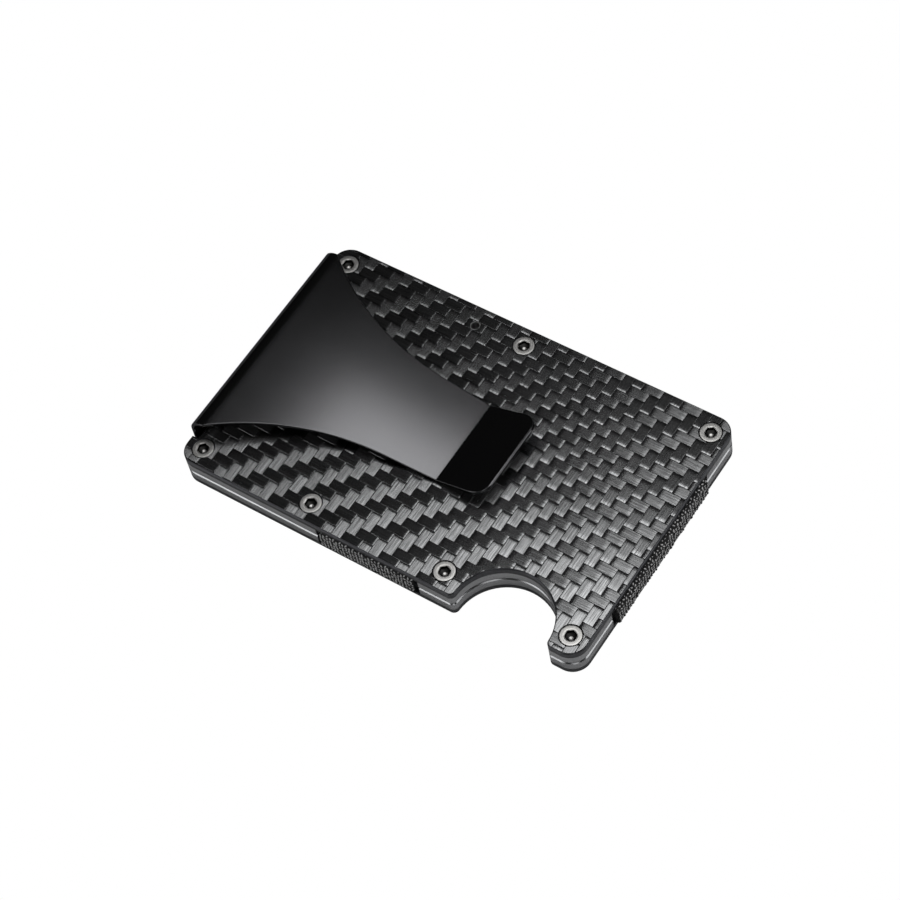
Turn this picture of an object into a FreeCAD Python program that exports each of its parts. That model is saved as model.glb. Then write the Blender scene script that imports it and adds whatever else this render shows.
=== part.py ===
"""Money clip with a card holder: two laminate-faced panels drawn together by elastic bands,
and a spring-sheet clip folded over the left edge of the upper panel.

Millimetres. The origin is the centre of the back face. +X runs along the long side, from the
clip's fold to the closed end. -Y is the side with the thumb notch. +Z runs out of the back face,
through both panels, to the clip.
"""
import FreeCAD, Part
import math
import os

# Panels
PANEL_LENGTH = 86.0
PANEL_WIDTH = 54.4
CORNER_RADIUS = 3.5
FACE_THICKNESS = 1.1
INNER_THICKNESS = 2.0
CARD_GAP = 0.3
FACE_RIM_CHAMFER = 0.22
INNER_RIM_CHAMFER = 0.2

# Thumb notch on the -Y side, through both panels
NOTCH_X = 27.0
NOTCH_Y = -26.5
NOTCH_RADIUS = 9.55
NOTCH_LIP_RADIUS = 1.1

# Socket screws, seven to a panel
SCREW_END_INSET = 3.5
SCREW_SIDE_INSET = 3.7
REAR_SCREW_X = 0.0
FRONT_SCREWS_X = (-15.3, 13.5)
SEAT_RADIUS = 2.3
HEAD_RECESS = 0.08
HEAD_RIM = 0.1
SHANK_RADIUS = 1.25
SHANK_CLEARANCE = 0.05
SCREW_LENGTH = 2.65
SHANK_TIP_CHAMFER = 0.2
SOCKET_ACROSS_FLATS = 2.0
SOCKET_DEPTH = 0.7
SOCKET_POINT_DEPTH = 0.25
SOCKET_POINT_RADIUS = 0.95

# Tubular register pin through the upper panel's two plates
PIN_X = -10.4
PIN_Y = 23.1
PIN_RADIUS = 1.0
PIN_BORE_RADIUS = 0.8
PIN_RECESS = 0.05
PIN_LENGTH = 2.8

# Elastic bands: a web across the panel edges, and a tab in a pocket of each inner plate
BAND_FRONT_SPAN = (-11.0, 9.0)
BAND_REAR_SPAN = (-8.0, 8.0)
BAND_END_SPAN = (-15.0, 15.0)
BAND_SIDE_PROUD = 0.3
BAND_END_PROUD = 0.8
BAND_WEB_DEPTH = 0.7
BAND_TAB_THICKNESS = 0.5
BAND_TAB_REACH = 5.6
BAND_CLEARANCE = 0.05
BAND_BULGE_RADIUS = 0.28
EDGE_RELIEF = 0.75
EDGE_RELIEF_OVERRUN = 1.0
POCKET_DEPTH = 0.6
POCKET_OVERRUN = 0.2
PEG_RADIUS = 0.8
PEG_INSET = 3.8

# Spring-sheet clip
SHEET = 0.75
BASE_BEND_RADIUS = 1.2
FOLD_RADIUS = 3.4
FOLD_CENTRE_Z = 8.24
FOLD_HALF_WIDTH = 21.8
CREASE_X = 2.3
CREASE_CLEARANCE = 0.3
CREASE_HALF_WIDTH = 9.03
WAIST_X = -8.5
WAIST_HALF_WIDTH = 9.62
WAIST_RADIUS = 54.0
LIP_RISE = math.radians(18.0)
LIP_END_X = 12.96
LIP_END_HALF_WIDTH = 9.3
LIP_CORNER_RADIUS = 3.17
HINGE_Z = 6.9
HINGE_GAP = 0.12
BASE_REACH = 6.2
EAR_RADIUS = 2.3
FOLD_SIDE_GAP = 0.3
FOLD_BACK_GAP = 0.55

# Derived levels
HALF_LENGTH = PANEL_LENGTH / 2
HALF_WIDTH = PANEL_WIDTH / 2
LOWER_SEAM_Z = FACE_THICKNESS
LOWER_SLOT_Z = LOWER_SEAM_Z + INNER_THICKNESS
UPPER_SLOT_Z = LOWER_SLOT_Z + CARD_GAP
UPPER_SEAM_Z = UPPER_SLOT_Z + INNER_THICKNESS
TOP_Z = UPPER_SEAM_Z + FACE_THICKNESS
SCREW_X = HALF_LENGTH - SCREW_END_INSET
SCREW_Y = HALF_WIDTH - SCREW_SIDE_INSET
SCREW_PLACES = (
    (-SCREW_X, SCREW_Y),
    (REAR_SCREW_X, SCREW_Y),
    (SCREW_X, SCREW_Y),
    (-SCREW_X, -SCREW_Y),
    (FRONT_SCREWS_X[0], -SCREW_Y),
    (FRONT_SCREWS_X[1], -SCREW_Y),
    (SCREW_X, -SCREW_Y),
)
FOLD_CENTRE_X = -HALF_LENGTH + FOLD_RADIUS
BANDS = (
    ("front", BAND_FRONT_SPAN, BAND_SIDE_PROUD),
    ("rear", BAND_REAR_SPAN, BAND_SIDE_PROUD),
    ("end", BAND_END_SPAN, BAND_END_PROUD),
)
PEG_V = -BAND_TAB_REACH / 2 - BAND_WEB_DEPTH
UP = FreeCAD.Vector(0, 0, 1)
TINY = 1e-4


def vec(x, y, z=0.0):
    """A point or direction."""
    return FreeCAD.Vector(x, y, z)


def line(start, end):
    """A straight edge."""
    return Part.LineSegment(start, end).toShape()


def arc(start, middle, end):
    """A round edge through three points."""
    return Part.Arc(start, middle, end).toShape()


def block(x0, x1, y0, y1, z0, z1):
    """A box between two corners."""
    return Part.makeBox(x1 - x0, y1 - y0, z1 - z0, vec(x0, y0, z0))


def prism(edges, direction):
    """A solid pushed out from a closed loop of edges."""
    return Part.Face(Part.Wire(Part.__sortEdges__(edges))).extrude(direction)


def vertical_edges(solid, x, y):
    """The upright edges of a solid that stand over one point of the plan."""
    return [
        edge
        for edge in solid.Edges
        if edge.BoundBox.ZLength > TINY
        and abs(edge.BoundBox.XMin - x) < TINY
        and abs(edge.BoundBox.XMax - x) < TINY
        and abs(edge.BoundBox.YMin - y) < TINY
        and abs(edge.BoundBox.YMax - y) < TINY
    ]


def panel_blank(z_low, thickness):
    """The rounded outline of a panel with its thumb notch, as one plate."""
    plate = block(-HALF_LENGTH, HALF_LENGTH, -HALF_WIDTH, HALF_WIDTH, z_low, z_low + thickness)
    for x in (-HALF_LENGTH, HALF_LENGTH):
        for y in (-HALF_WIDTH, HALF_WIDTH):
            plate = plate.makeFillet(CORNER_RADIUS, vertical_edges(plate, x, y))
    bite = Part.makeCylinder(NOTCH_RADIUS, thickness, vec(NOTCH_X, NOTCH_Y, z_low), UP)
    plate = plate.cut(bite)
    mouth = math.sqrt(NOTCH_RADIUS**2 - (HALF_WIDTH + NOTCH_Y) ** 2)
    for x in (NOTCH_X - mouth, NOTCH_X + mouth):
        plate = plate.makeFillet(NOTCH_LIP_RADIUS, vertical_edges(plate, x, -HALF_WIDTH))
    return plate


def chamfer_rim(plate, z, size):
    """Breaks the outer rim of a plate's flat face at height z."""
    faces = [
        face
        for face in plate.Faces
        if abs(face.BoundBox.ZMin - z) < TINY and abs(face.BoundBox.ZMax - z) < TINY
    ]
    widest = max(faces, key=lambda face: face.Area)
    return plate.makeChamfer(size, widest.OuterWire.Edges)


def flipped(solid):
    """A solid turned over about the X axis, from the top face to the back face."""
    turned = solid.copy()
    turned.rotate(vec(0, 0, TOP_Z / 2), vec(1, 0, 0), 180)
    return turned


def seat_cut(x, y):
    """The countersunk hole of one screw in the upper face plate."""
    hole_radius = SHANK_RADIUS + SHANK_CLEARANCE
    cone_depth = SEAT_RADIUS - hole_radius
    cone = Part.makeCone(hole_radius, SEAT_RADIUS, cone_depth, vec(x, y, TOP_Z - cone_depth), UP)
    hole = Part.makeCylinder(hole_radius, FACE_THICKNESS, vec(x, y, UPPER_SEAM_Z), UP)
    return cone.fuse(hole)


def fold_relief(z_low, z_high):
    """The cut in the left edge of a plate that the folded sheet stands in."""
    half = FOLD_HALF_WIDTH + FOLD_SIDE_GAP
    x_in = -HALF_LENGTH + SHEET + FOLD_BACK_GAP
    cut = block(-HALF_LENGTH - 1, x_in, -half, half, z_low, z_high)
    for y in (-half, half):
        cut = cut.makeFillet(FOLD_BACK_GAP, vertical_edges(cut, x_in, y))
    return cut


def face_plate_with_seats():
    """A face plate at the top level, with its screw seats."""
    plate = panel_blank(UPPER_SEAM_Z, FACE_THICKNESS)
    for x, y in SCREW_PLACES:
        plate = plate.cut(seat_cut(x, y))
    return plate


def upper_face_plate():
    """The laminate plate that carries the clip's side."""
    plate = face_plate_with_seats()
    plate = plate.cut(fold_relief(UPPER_SEAM_Z - 1, TOP_Z + 1))
    plate = plate.cut(Part.makeCylinder(PIN_RADIUS, PANEL_WIDTH, vec(PIN_X, PIN_Y, 0), UP))
    return chamfer_rim(plate, TOP_Z, FACE_RIM_CHAMFER)


def lower_face_plate():
    """The laminate plate on the back, the mirror image of the upper one without the fold's relief."""
    plate = face_plate_with_seats()
    plate = plate.mirror(vec(0, 0, TOP_Z / 2), UP)
    return chamfer_rim(plate, 0.0, FACE_RIM_CHAMFER)


def edge_box(side, span, v0, v1, z0, z1):
    """A box beside a panel edge: span runs along the edge, v runs outwards from it."""
    low, high = span
    if side == "front":
        return block(low, high, -HALF_WIDTH - v1, -HALF_WIDTH - v0, z0, z1)
    if side == "rear":
        return block(low, high, HALF_WIDTH + v0, HALF_WIDTH + v1, z0, z1)
    return block(HALF_LENGTH + v0, HALF_LENGTH + v1, low, high, z0, z1)


def edge_point(side, along, v, z):
    """A point beside a panel edge, measured as edge_box measures."""
    if side == "front":
        return vec(along, -HALF_WIDTH - v, z)
    if side == "rear":
        return vec(along, HALF_WIDTH + v, z)
    return vec(HALF_LENGTH + v, along, z)


def widened(span, extra):
    """A span made longer at both ends."""
    return (span[0] - extra, span[1] + extra)


def pegs_along(span):
    """Where the pegs that hold a band's tabs stand along it."""
    return (span[0] + PEG_INSET, span[1] - PEG_INSET)


def inner_plate(z_low, pocket_z):
    """An inner plate with edge reliefs, tab pockets, pegs and tapped screw holes."""
    plate = panel_blank(z_low, INNER_THICKNESS)
    slot_z = LOWER_SLOT_Z if z_low == LOWER_SEAM_Z else UPPER_SLOT_Z
    z_high = z_low + INNER_THICKNESS
    plate = chamfer_rim(plate, slot_z, INNER_RIM_CHAMFER)
    for side, span, _ in BANDS:
        relief = widened(span, EDGE_RELIEF_OVERRUN)
        plate = plate.cut(edge_box(side, relief, -EDGE_RELIEF, 1, z_low, z_high))
        pocket = widened(span, POCKET_OVERRUN)
        reach = -BAND_TAB_REACH - POCKET_OVERRUN
        plate = plate.cut(edge_box(side, pocket, reach, 0, pocket_z, pocket_z + POCKET_DEPTH))
        for along in pegs_along(span):
            foot = edge_point(side, along, PEG_V, pocket_z)
            plate = plate.fuse(Part.makeCylinder(PEG_RADIUS, POCKET_DEPTH, foot, UP))
    for x, y in SCREW_PLACES:
        plate = plate.cut(Part.makeCylinder(SHANK_RADIUS, INNER_THICKNESS, vec(x, y, z_low), UP))
    return plate.removeSplitter()


def base_outline():
    """The clip's foot in plan: a bar between the two left screws, with an ear round each."""
    x_in = -HALF_LENGTH + BASE_REACH
    x_out = -HALF_LENGTH + BASE_BEND_RADIUS
    foot = block(x_out, x_in, -SCREW_Y, SCREW_Y, UPPER_SLOT_Z, TOP_Z)
    for y in (-SCREW_Y, SCREW_Y):
        ear_foot = vec(-SCREW_X, y, UPPER_SLOT_Z)
        foot = foot.fuse(Part.makeCylinder(EAR_RADIUS, TOP_Z - UPPER_SLOT_Z, ear_foot, UP))
    fold = block(-HALF_LENGTH - 1, x_in, -FOLD_HALF_WIDTH, FOLD_HALF_WIDTH, UPPER_SLOT_Z, HINGE_Z)
    return foot.fuse(fold)


def upper_inner_plate():
    """The upper inner plate, with a sunk bed for the clip's foot."""
    plate = inner_plate(UPPER_SLOT_Z, UPPER_SEAM_Z - POCKET_DEPTH)
    bed_z = UPPER_SEAM_Z - SHEET
    bed = base_outline().common(block(-HALF_LENGTH - 1, 0, -HALF_WIDTH, HALF_WIDTH, bed_z, UPPER_SEAM_Z))
    plate = plate.cut(bed)
    plate = plate.cut(fold_relief(bed_z, UPPER_SEAM_Z))
    return plate.cut(Part.makeCylinder(PIN_RADIUS, PANEL_WIDTH, vec(PIN_X, PIN_Y, 0), UP))


def lower_inner_plate():
    """The lower inner plate, with its pockets towards the back."""
    return inner_plate(LOWER_SEAM_Z, LOWER_SEAM_Z)


def hex_socket(top):
    """The hexagonal hole in a screw's head, with the drill's point at its bottom."""
    corner_radius = SOCKET_ACROSS_FLATS / 2 / math.cos(math.pi / 6)
    angles = [k * math.pi / 3 for k in range(7)]
    corners = [vec(corner_radius * math.cos(a), corner_radius * math.sin(a), top) for a in angles]
    hexagon = Part.Face(Part.makePolygon(corners)).extrude(vec(0, 0, -SOCKET_DEPTH))
    point_foot = vec(0, 0, top - SOCKET_DEPTH - SOCKET_POINT_DEPTH)
    point = Part.makeCone(0, SOCKET_POINT_RADIUS, SOCKET_POINT_DEPTH, point_foot, UP)
    return hexagon.fuse(point)


def screw(x, y):
    """One countersunk socket screw in the upper panel."""
    top = TOP_Z - HEAD_RECESS
    head_radius = SEAT_RADIUS - HEAD_RECESS
    neck_z = top - (head_radius - SHANK_RADIUS)
    tip_z = top - SCREW_LENGTH
    corners = (
        vec(0, 0, top),
        vec(head_radius - 2 * HEAD_RIM, 0, top),
        vec(head_radius - HEAD_RIM, 0, top - HEAD_RIM),
        vec(SHANK_RADIUS, 0, neck_z),
        vec(SHANK_RADIUS, 0, tip_z + SHANK_TIP_CHAMFER),
        vec(SHANK_RADIUS - SHANK_TIP_CHAMFER, 0, tip_z),
        vec(0, 0, tip_z),
    )
    edges = [line(a, b) for a, b in zip(corners, corners[1:] + corners[:1])]
    body = Part.Face(Part.Wire(edges)).revolve(vec(0, 0, 0), UP, 360)
    body = body.cut(hex_socket(top))
    body.translate(vec(x, y, 0))
    return body


def register_pin():
    """The tubular pin that keeps the upper panel's plates in register."""
    low = TOP_Z - PIN_RECESS - PIN_LENGTH
    tube = Part.makeCylinder(PIN_RADIUS, PIN_LENGTH, vec(PIN_X, PIN_Y, low), UP)
    return tube.cut(Part.makeCylinder(PIN_BORE_RADIUS, PIN_LENGTH, vec(PIN_X, PIN_Y, low), UP))


def elastic_band(side, span, proud):
    """One band: a web across both panels' edges and a tab into each inner plate."""
    low = LOWER_SEAM_Z + BAND_CLEARANCE
    high = UPPER_SEAM_Z - BAND_CLEARANCE
    band = edge_box(side, span, -BAND_WEB_DEPTH, proud, low, high)
    outer = []
    for edge in band.Edges:
        middle = edge.CenterOfMass
        on_crown = (middle - edge_point(side, sum(span) / 2, proud, middle.z)).Length < TINY
        if on_crown and edge.BoundBox.ZLength < TINY:
            outer.append(edge)
    band = band.makeFillet(BAND_BULGE_RADIUS, outer)
    for z in (low, high - BAND_TAB_THICKNESS):
        tab = edge_box(side, span, -BAND_TAB_REACH, 0, z, z + BAND_TAB_THICKNESS)
        for along in pegs_along(span):
            foot = edge_point(side, along, PEG_V, 0)
            tab = tab.cut(Part.makeCylinder(PEG_RADIUS + BAND_CLEARANCE, TOP_Z, foot, UP))
        band = band.fuse(tab)
    if side == "rear":
        hole = Part.makeCylinder(SHANK_RADIUS + CARD_GAP, TOP_Z, vec(REAR_SCREW_X, SCREW_Y, 0), UP)
        band = band.cut(hole)
    return band.removeSplitter()


def arm_slope():
    """How steeply the arm falls from the fold to the crease, in radians."""
    across = CREASE_X - FOLD_CENTRE_X
    down = FOLD_CENTRE_Z - crease_top_z()
    reach = math.hypot(across, down)
    return math.asin(FOLD_RADIUS / reach) + math.atan2(down, across)


def crease_top_z():
    """Height of the crease on the sheet's outer side."""
    return TOP_Z + CREASE_CLEARANCE + SHEET


def fold_point(radius, angle):
    """A point on the fold's bend, with the angle counted from straight up towards +X."""
    return vec(FOLD_CENTRE_X + radius * math.sin(angle), 0, FOLD_CENTRE_Z + radius * math.cos(angle))


def arm_profile():
    """The sheet's side view from the hinge line over the fold, down the arm and up the lip."""
    slope = arm_slope()
    bend_middle = (slope - math.pi / 2) / 2
    outer_left = -HALF_LENGTH
    inner_left = outer_left + SHEET
    start_z = HINGE_Z + HINGE_GAP / 2
    inner_radius = FOLD_RADIUS - SHEET
    crease = vec(CREASE_X, 0, crease_top_z())
    lip_end = vec(LIP_END_X, 0, crease.z + (LIP_END_X - CREASE_X) * math.tan(LIP_RISE))
    half_turn = (slope + LIP_RISE) / 2
    mitre = SHEET / math.cos(half_turn)
    tilt = (LIP_RISE - slope) / 2
    crease_under = crease + vec(mitre * math.sin(tilt), 0, -mitre * math.cos(tilt))
    lip_end_under = lip_end + vec(SHEET * math.sin(LIP_RISE), 0, -SHEET * math.cos(LIP_RISE))
    foot_outer = vec(outer_left, 0, start_z)
    foot_inner = vec(inner_left, 0, start_z)
    side_outer = vec(outer_left, 0, FOLD_CENTRE_Z)
    side_inner = vec(inner_left, 0, FOLD_CENTRE_Z)
    top_outer = fold_point(FOLD_RADIUS, slope)
    top_inner = fold_point(inner_radius, slope)
    return [
        line(foot_outer, side_outer),
        arc(side_outer, fold_point(FOLD_RADIUS, bend_middle), top_outer),
        line(top_outer, crease),
        line(crease, lip_end),
        line(lip_end, lip_end_under),
        line(lip_end_under, crease_under),
        line(crease_under, top_inner),
        arc(top_inner, fold_point(inner_radius, bend_middle), side_inner),
        line(side_inner, foot_inner),
        line(foot_inner, foot_outer),
    ]


def waist_centre(side):
    """Centre of the concave curve on one side of the arm."""
    taper = math.atan2(WAIST_HALF_WIDTH - CREASE_HALF_WIDTH, CREASE_X - WAIST_X)
    x = WAIST_X + WAIST_RADIUS * math.sin(taper)
    return vec(x, side * (WAIST_HALF_WIDTH + WAIST_RADIUS * math.cos(taper)))


def arm_side_points(side):
    """The corners of one side of the arm in plan, from the fold to the lip's end."""
    centre = waist_centre(side)
    rise = abs(centre.y) - FOLD_HALF_WIDTH
    shoulder_x = centre.x - math.sqrt(WAIST_RADIUS**2 - rise**2)
    middle_x = (shoulder_x + WAIST_X) / 2
    middle_y = abs(centre.y) - math.sqrt(WAIST_RADIUS**2 - (middle_x - centre.x) ** 2)
    corner = LIP_CORNER_RADIUS
    diagonal = corner * math.sqrt(0.5)
    return {
        "fold": vec(-HALF_LENGTH - 1, side * FOLD_HALF_WIDTH),
        "shoulder": vec(shoulder_x, side * FOLD_HALF_WIDTH),
        "curve": vec(middle_x, side * middle_y),
        "waist": vec(WAIST_X, side * WAIST_HALF_WIDTH),
        "crease": vec(CREASE_X, side * CREASE_HALF_WIDTH),
        "corner_in": vec(LIP_END_X - corner, side * LIP_END_HALF_WIDTH),
        "corner_mid": vec(LIP_END_X - corner + diagonal, side * (LIP_END_HALF_WIDTH - corner + diagonal)),
        "corner_out": vec(LIP_END_X, side * (LIP_END_HALF_WIDTH - corner)),
    }


def side_edges(points):
    """The edges of one side of the arm in plan."""
    return [
        line(points["fold"], points["shoulder"]),
        arc(points["shoulder"], points["curve"], points["waist"]),
        line(points["waist"], points["crease"]),
        line(points["crease"], points["corner_in"]),
        arc(points["corner_in"], points["corner_mid"], points["corner_out"]),
    ]


def clip_arm():
    """The moving half of the clip: upper fold, arm and lip."""
    sheet = prism(arm_profile(), vec(0, PANEL_WIDTH, 0))
    sheet.translate(vec(0, -HALF_WIDTH, 0))
    rear = arm_side_points(1)
    front = arm_side_points(-1)
    edges = side_edges(rear) + side_edges(front)
    edges.append(line(rear["fold"], front["fold"]))
    edges.append(line(rear["corner_out"], front["corner_out"]))
    plan = prism(edges, vec(0, 0, 2 * TOP_Z))
    return sheet.common(plan)


def clip_base():
    """The fixed half of the clip: the foot under the face plate and the lower half of the fold."""
    bend_x = -HALF_LENGTH + BASE_BEND_RADIUS
    bend_z = UPPER_SEAM_Z - SHEET + BASE_BEND_RADIUS
    inner_radius = BASE_BEND_RADIUS - SHEET
    diagonal = math.sqrt(0.5)
    x_end = -HALF_LENGTH + BASE_REACH
    top_z = HINGE_Z - HINGE_GAP / 2
    under_end = vec(x_end, 0, UPPER_SEAM_Z - SHEET)
    under_bend = vec(bend_x, 0, UPPER_SEAM_Z - SHEET)
    outer_middle = vec(bend_x - BASE_BEND_RADIUS * diagonal, 0, bend_z - BASE_BEND_RADIUS * diagonal)
    outer_side = vec(-HALF_LENGTH, 0, bend_z)
    outer_top = vec(-HALF_LENGTH, 0, top_z)
    inner_top = vec(-HALF_LENGTH + SHEET, 0, top_z)
    inner_side = vec(-HALF_LENGTH + SHEET, 0, bend_z)
    inner_middle = vec(bend_x - inner_radius * diagonal, 0, bend_z - inner_radius * diagonal)
    over_bend = vec(bend_x, 0, UPPER_SEAM_Z)
    over_end = vec(x_end, 0, UPPER_SEAM_Z)
    profile = [
        line(under_end, under_bend),
        arc(under_bend, outer_middle, outer_side),
        line(outer_side, outer_top),
        line(outer_top, inner_top),
        line(inner_top, inner_side),
        arc(inner_side, inner_middle, over_bend),
        line(over_bend, over_end),
        line(over_end, under_end),
    ]
    sheet = prism(profile, vec(0, PANEL_WIDTH, 0))
    sheet.translate(vec(0, -HALF_WIDTH, 0))
    foot = sheet.common(base_outline())
    for y in (-SCREW_Y, SCREW_Y):
        hole = Part.makeCylinder(SHANK_RADIUS + 2 * SHANK_CLEARANCE, TOP_Z, vec(-SCREW_X, y, 0), UP)
        foot = foot.cut(hole)
    return foot


def write(name, solid):
    """Writes one node's STEP file and reports its volume."""
    solid.exportStep("parts/" + name + ".step")
    state = "valid" if solid.isValid() else "NOT VALID"
    print(name, len(solid.Solids), "solid", round(solid.Volume, 2), "mm3", state)


def main():
    """Builds and writes every node."""
    os.makedirs("parts", exist_ok=True)
    write("upper_face_plate", upper_face_plate())
    write("upper_inner_plate", upper_inner_plate())
    write("lower_inner_plate", lower_inner_plate())
    write("lower_face_plate", lower_face_plate())
    for number, (x, y) in enumerate(SCREW_PLACES, start=1):
        write("upper_screw_" + str(number), screw(x, y))
        write("lower_screw_" + str(number), flipped(screw(x, -y)))
    write("register_pin", register_pin())
    for side, span, proud in BANDS:
        write("elastic_band_" + side, elastic_band(side, span, proud))
    write("clip_base", clip_base())
    write("clip_arm", clip_arm())


main()
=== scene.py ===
"""Looks of a card holder with a spring money clip.

Two panels of twill carbon laminate on black anodised plates, held together by elastic bands, with
a folded clip of black-coated spring sheet. Sizes are named in millimetres and turned to metres once.
"""

import logging
import math
from dataclasses import dataclass, field
from enum import Enum
from typing import Sequence

import bmesh
import bpy
import numpy as np
from mathutils import Matrix, Vector


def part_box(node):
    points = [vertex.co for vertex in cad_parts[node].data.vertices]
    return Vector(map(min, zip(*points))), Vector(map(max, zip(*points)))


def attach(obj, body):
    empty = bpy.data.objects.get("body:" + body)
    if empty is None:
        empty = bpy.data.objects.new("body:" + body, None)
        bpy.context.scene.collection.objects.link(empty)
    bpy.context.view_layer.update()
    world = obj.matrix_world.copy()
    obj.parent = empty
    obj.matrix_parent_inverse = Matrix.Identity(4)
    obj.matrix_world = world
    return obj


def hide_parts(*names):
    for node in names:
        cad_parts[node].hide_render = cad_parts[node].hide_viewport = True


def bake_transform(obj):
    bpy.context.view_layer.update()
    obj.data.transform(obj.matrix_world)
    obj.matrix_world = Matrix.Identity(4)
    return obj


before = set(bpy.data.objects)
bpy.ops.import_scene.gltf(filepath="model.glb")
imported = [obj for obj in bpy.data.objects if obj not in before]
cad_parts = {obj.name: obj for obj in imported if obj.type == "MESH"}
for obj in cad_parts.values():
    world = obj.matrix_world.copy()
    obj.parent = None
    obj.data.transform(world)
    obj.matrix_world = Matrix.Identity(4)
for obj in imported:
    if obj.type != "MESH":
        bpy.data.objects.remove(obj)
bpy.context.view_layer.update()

MM = 0.001
LOG = logging.getLogger("money_clip")


class FibreRun(Enum):
    """Which way the filaments of a tow lie."""

    ALONG_X = (0.0, 1.0, 0.0)
    ALONG_Y = (1.0, 0.0, 0.0)

    @property
    def across(self) -> tuple[float, float, float]:
        """The direction across the filaments, in which they scatter light."""
        return self.value


class Edge(Enum):
    """The panel edge that an elastic band crosses, as its outward direction."""

    FRONT = (0.0, -1.0)
    REAR = (0.0, 1.0)
    END = (1.0, 0.0)


class Facing(Enum):
    """Which way a face looks."""

    UP = 1.0
    DOWN = -1.0


# ---------------------------------------------------------------- small tools


def mm(*values: float) -> Vector:
    """Turns millimetres into a vector in metres."""
    return Vector(values) * MM


def srgb(code: str) -> tuple[float, float, float, float]:
    """Turns an sRGB hex colour into a linear one.

    Args:
        code: Six hex digits, such as "1b1c1e".

    Returns:
        Red, green, blue and an alpha of 1.
    """
    parts = [int(code[k : k + 2], 16) / 255 for k in (0, 2, 4)]
    linear = [p / 12.92 if p <= 0.04045 else ((p + 0.055) / 1.055) ** 2.4 for p in parts]
    return (linear[0], linear[1], linear[2], 1.0)


def put(
    tree: bpy.types.NodeTree, kind: str, *values: object, settings: dict[str, object] | None = None, **named: object
) -> bpy.types.Node:
    """Adds one node, sets it and links it. A node given as an input stands for its first output.

    Args:
        tree: The node tree.
        kind: The node's type name, and after a colon its operation, where it has one. A bare
            operation, such as ":ADD", is a math node's.
        *values: Its first inputs in order, each a plain value, a socket or a node to link from.
        settings: Other properties of the node itself.
        **named: Further inputs by name with _ for a space, or by number as n6. A list links all its items.

    Returns:
        The new node.
    """
    kind, _, operation = kind.partition(":")
    node = tree.nodes.new(kind or "ShaderNodeMath")
    for name, value in (settings or {}).items():
        setattr(node, name, value)
    if operation:
        node.operation = operation
    inputs = {f"n{k}": value for k, value in enumerate(values)} | named
    for name, value in inputs.items():
        numbered = name[0] == "n" and name[1:].isdigit()
        socket = node.inputs[int(name[1:])] if numbered else node.inputs[name.replace("_", " ")]
        for item in value if isinstance(value, list) else [value]:
            source = item.outputs[0] if isinstance(item, bpy.types.Node) else item
            if isinstance(source, bpy.types.NodeSocket):
                tree.links.new(source, socket)
            else:
                socket.default_value = source
    return node


def node_group(name: str, takes: dict[str, str], gives: str) -> tuple[bpy.types.NodeTree, bpy.types.NodeOutputs]:
    """Makes an empty Geometry Nodes tree with named inputs.

    Args:
        name: The tree's name.
        takes: The kind of each input, such as "Float", by the input's name.
        gives: The name of the geometry that comes out.

    Returns:
        The tree, and the sockets of its inputs.
    """
    tree = bpy.data.node_groups.new(name, "GeometryNodeTree")
    for label, kind in takes.items():
        tree.interface.new_socket(label, in_out="INPUT", socket_type="NodeSocket" + kind)
    tree.interface.new_socket(gives, in_out="OUTPUT", socket_type="NodeSocketGeometry")
    return tree, put(tree, "NodeGroupInput").outputs


def bake_tree(
    source: bpy.types.Object, tree: bpy.types.NodeTree, inputs: dict[str, object], name: str
) -> bpy.types.Object:
    """Runs a node tree on an object once, and turns the result into a plain mesh.

    Args:
        source: The object that the tree starts from. It is removed.
        tree: The node tree.
        inputs: The tree's inputs, by name.
        name: The new object's name.

    Returns:
        The new object, linked to the scene.
    """
    modifier = source.modifiers.new("tree", "NODES")
    modifier.node_group = tree
    for item in tree.interface.items_tree:
        if item.item_type == "SOCKET" and item.in_out == "INPUT" and item.name in inputs:
            modifier[item.identifier] = inputs[item.name]
    source.update_tag()
    graph = bpy.context.evaluated_depsgraph_get()
    graph.update()
    done = source.evaluated_get(graph)
    mesh = bpy.data.meshes.new_from_object(done, preserve_all_data_layers=True, depsgraph=graph)
    mesh.name = name
    source.modifiers.remove(modifier)
    bpy.data.objects.remove(source)
    obj = bpy.data.objects.new(name, mesh)
    bpy.context.scene.collection.objects.link(obj)
    return obj


def mesh_piece(
    name: str,
    points: np.ndarray,
    faces: Sequence[Sequence[int]],
    materials: Sequence[bpy.types.Material],
    picks: Sequence[int] | None = None,
) -> bpy.types.Object:
    """Makes a smooth-shaded mesh object at the origin.

    Args:
        name: The object's name.
        points: Vertex places in metres, one row each.
        faces: Vertex numbers of each face.
        materials: The object's materials.
        picks: Which material each face has, or None for the first.

    Returns:
        The new object, linked to the scene.
    """
    mesh = bpy.data.meshes.new(name)
    mesh.from_pydata([tuple(p) for p in points], [], [tuple(f) for f in faces])
    for material in materials:
        mesh.materials.append(material)
    if picks is not None:
        mesh.polygons.foreach_set("material_index", np.asarray(picks, np.int32))
    mesh.polygons.foreach_set("use_smooth", np.ones(len(mesh.polygons), bool))
    mesh.update()
    obj = bpy.data.objects.new(name, mesh)
    bpy.context.scene.collection.objects.link(obj)
    return obj


def face_outwards(obj: bpy.types.Object, weld: float = 0.0) -> None:
    """Welds close vertices and turns every face outwards.

    Args:
        obj: The mesh object.
        weld: Vertices nearer than this, in metres, become one.
    """
    bm = bmesh.new()
    bm.from_mesh(obj.data)
    if weld > 0:
        bmesh.ops.remove_doubles(bm, verts=bm.verts, dist=weld)
        bmesh.ops.dissolve_degenerate(bm, edges=bm.edges, dist=weld)
    bmesh.ops.recalc_face_normals(bm, faces=bm.faces)
    bm.to_mesh(obj.data)
    bm.free()


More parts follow.
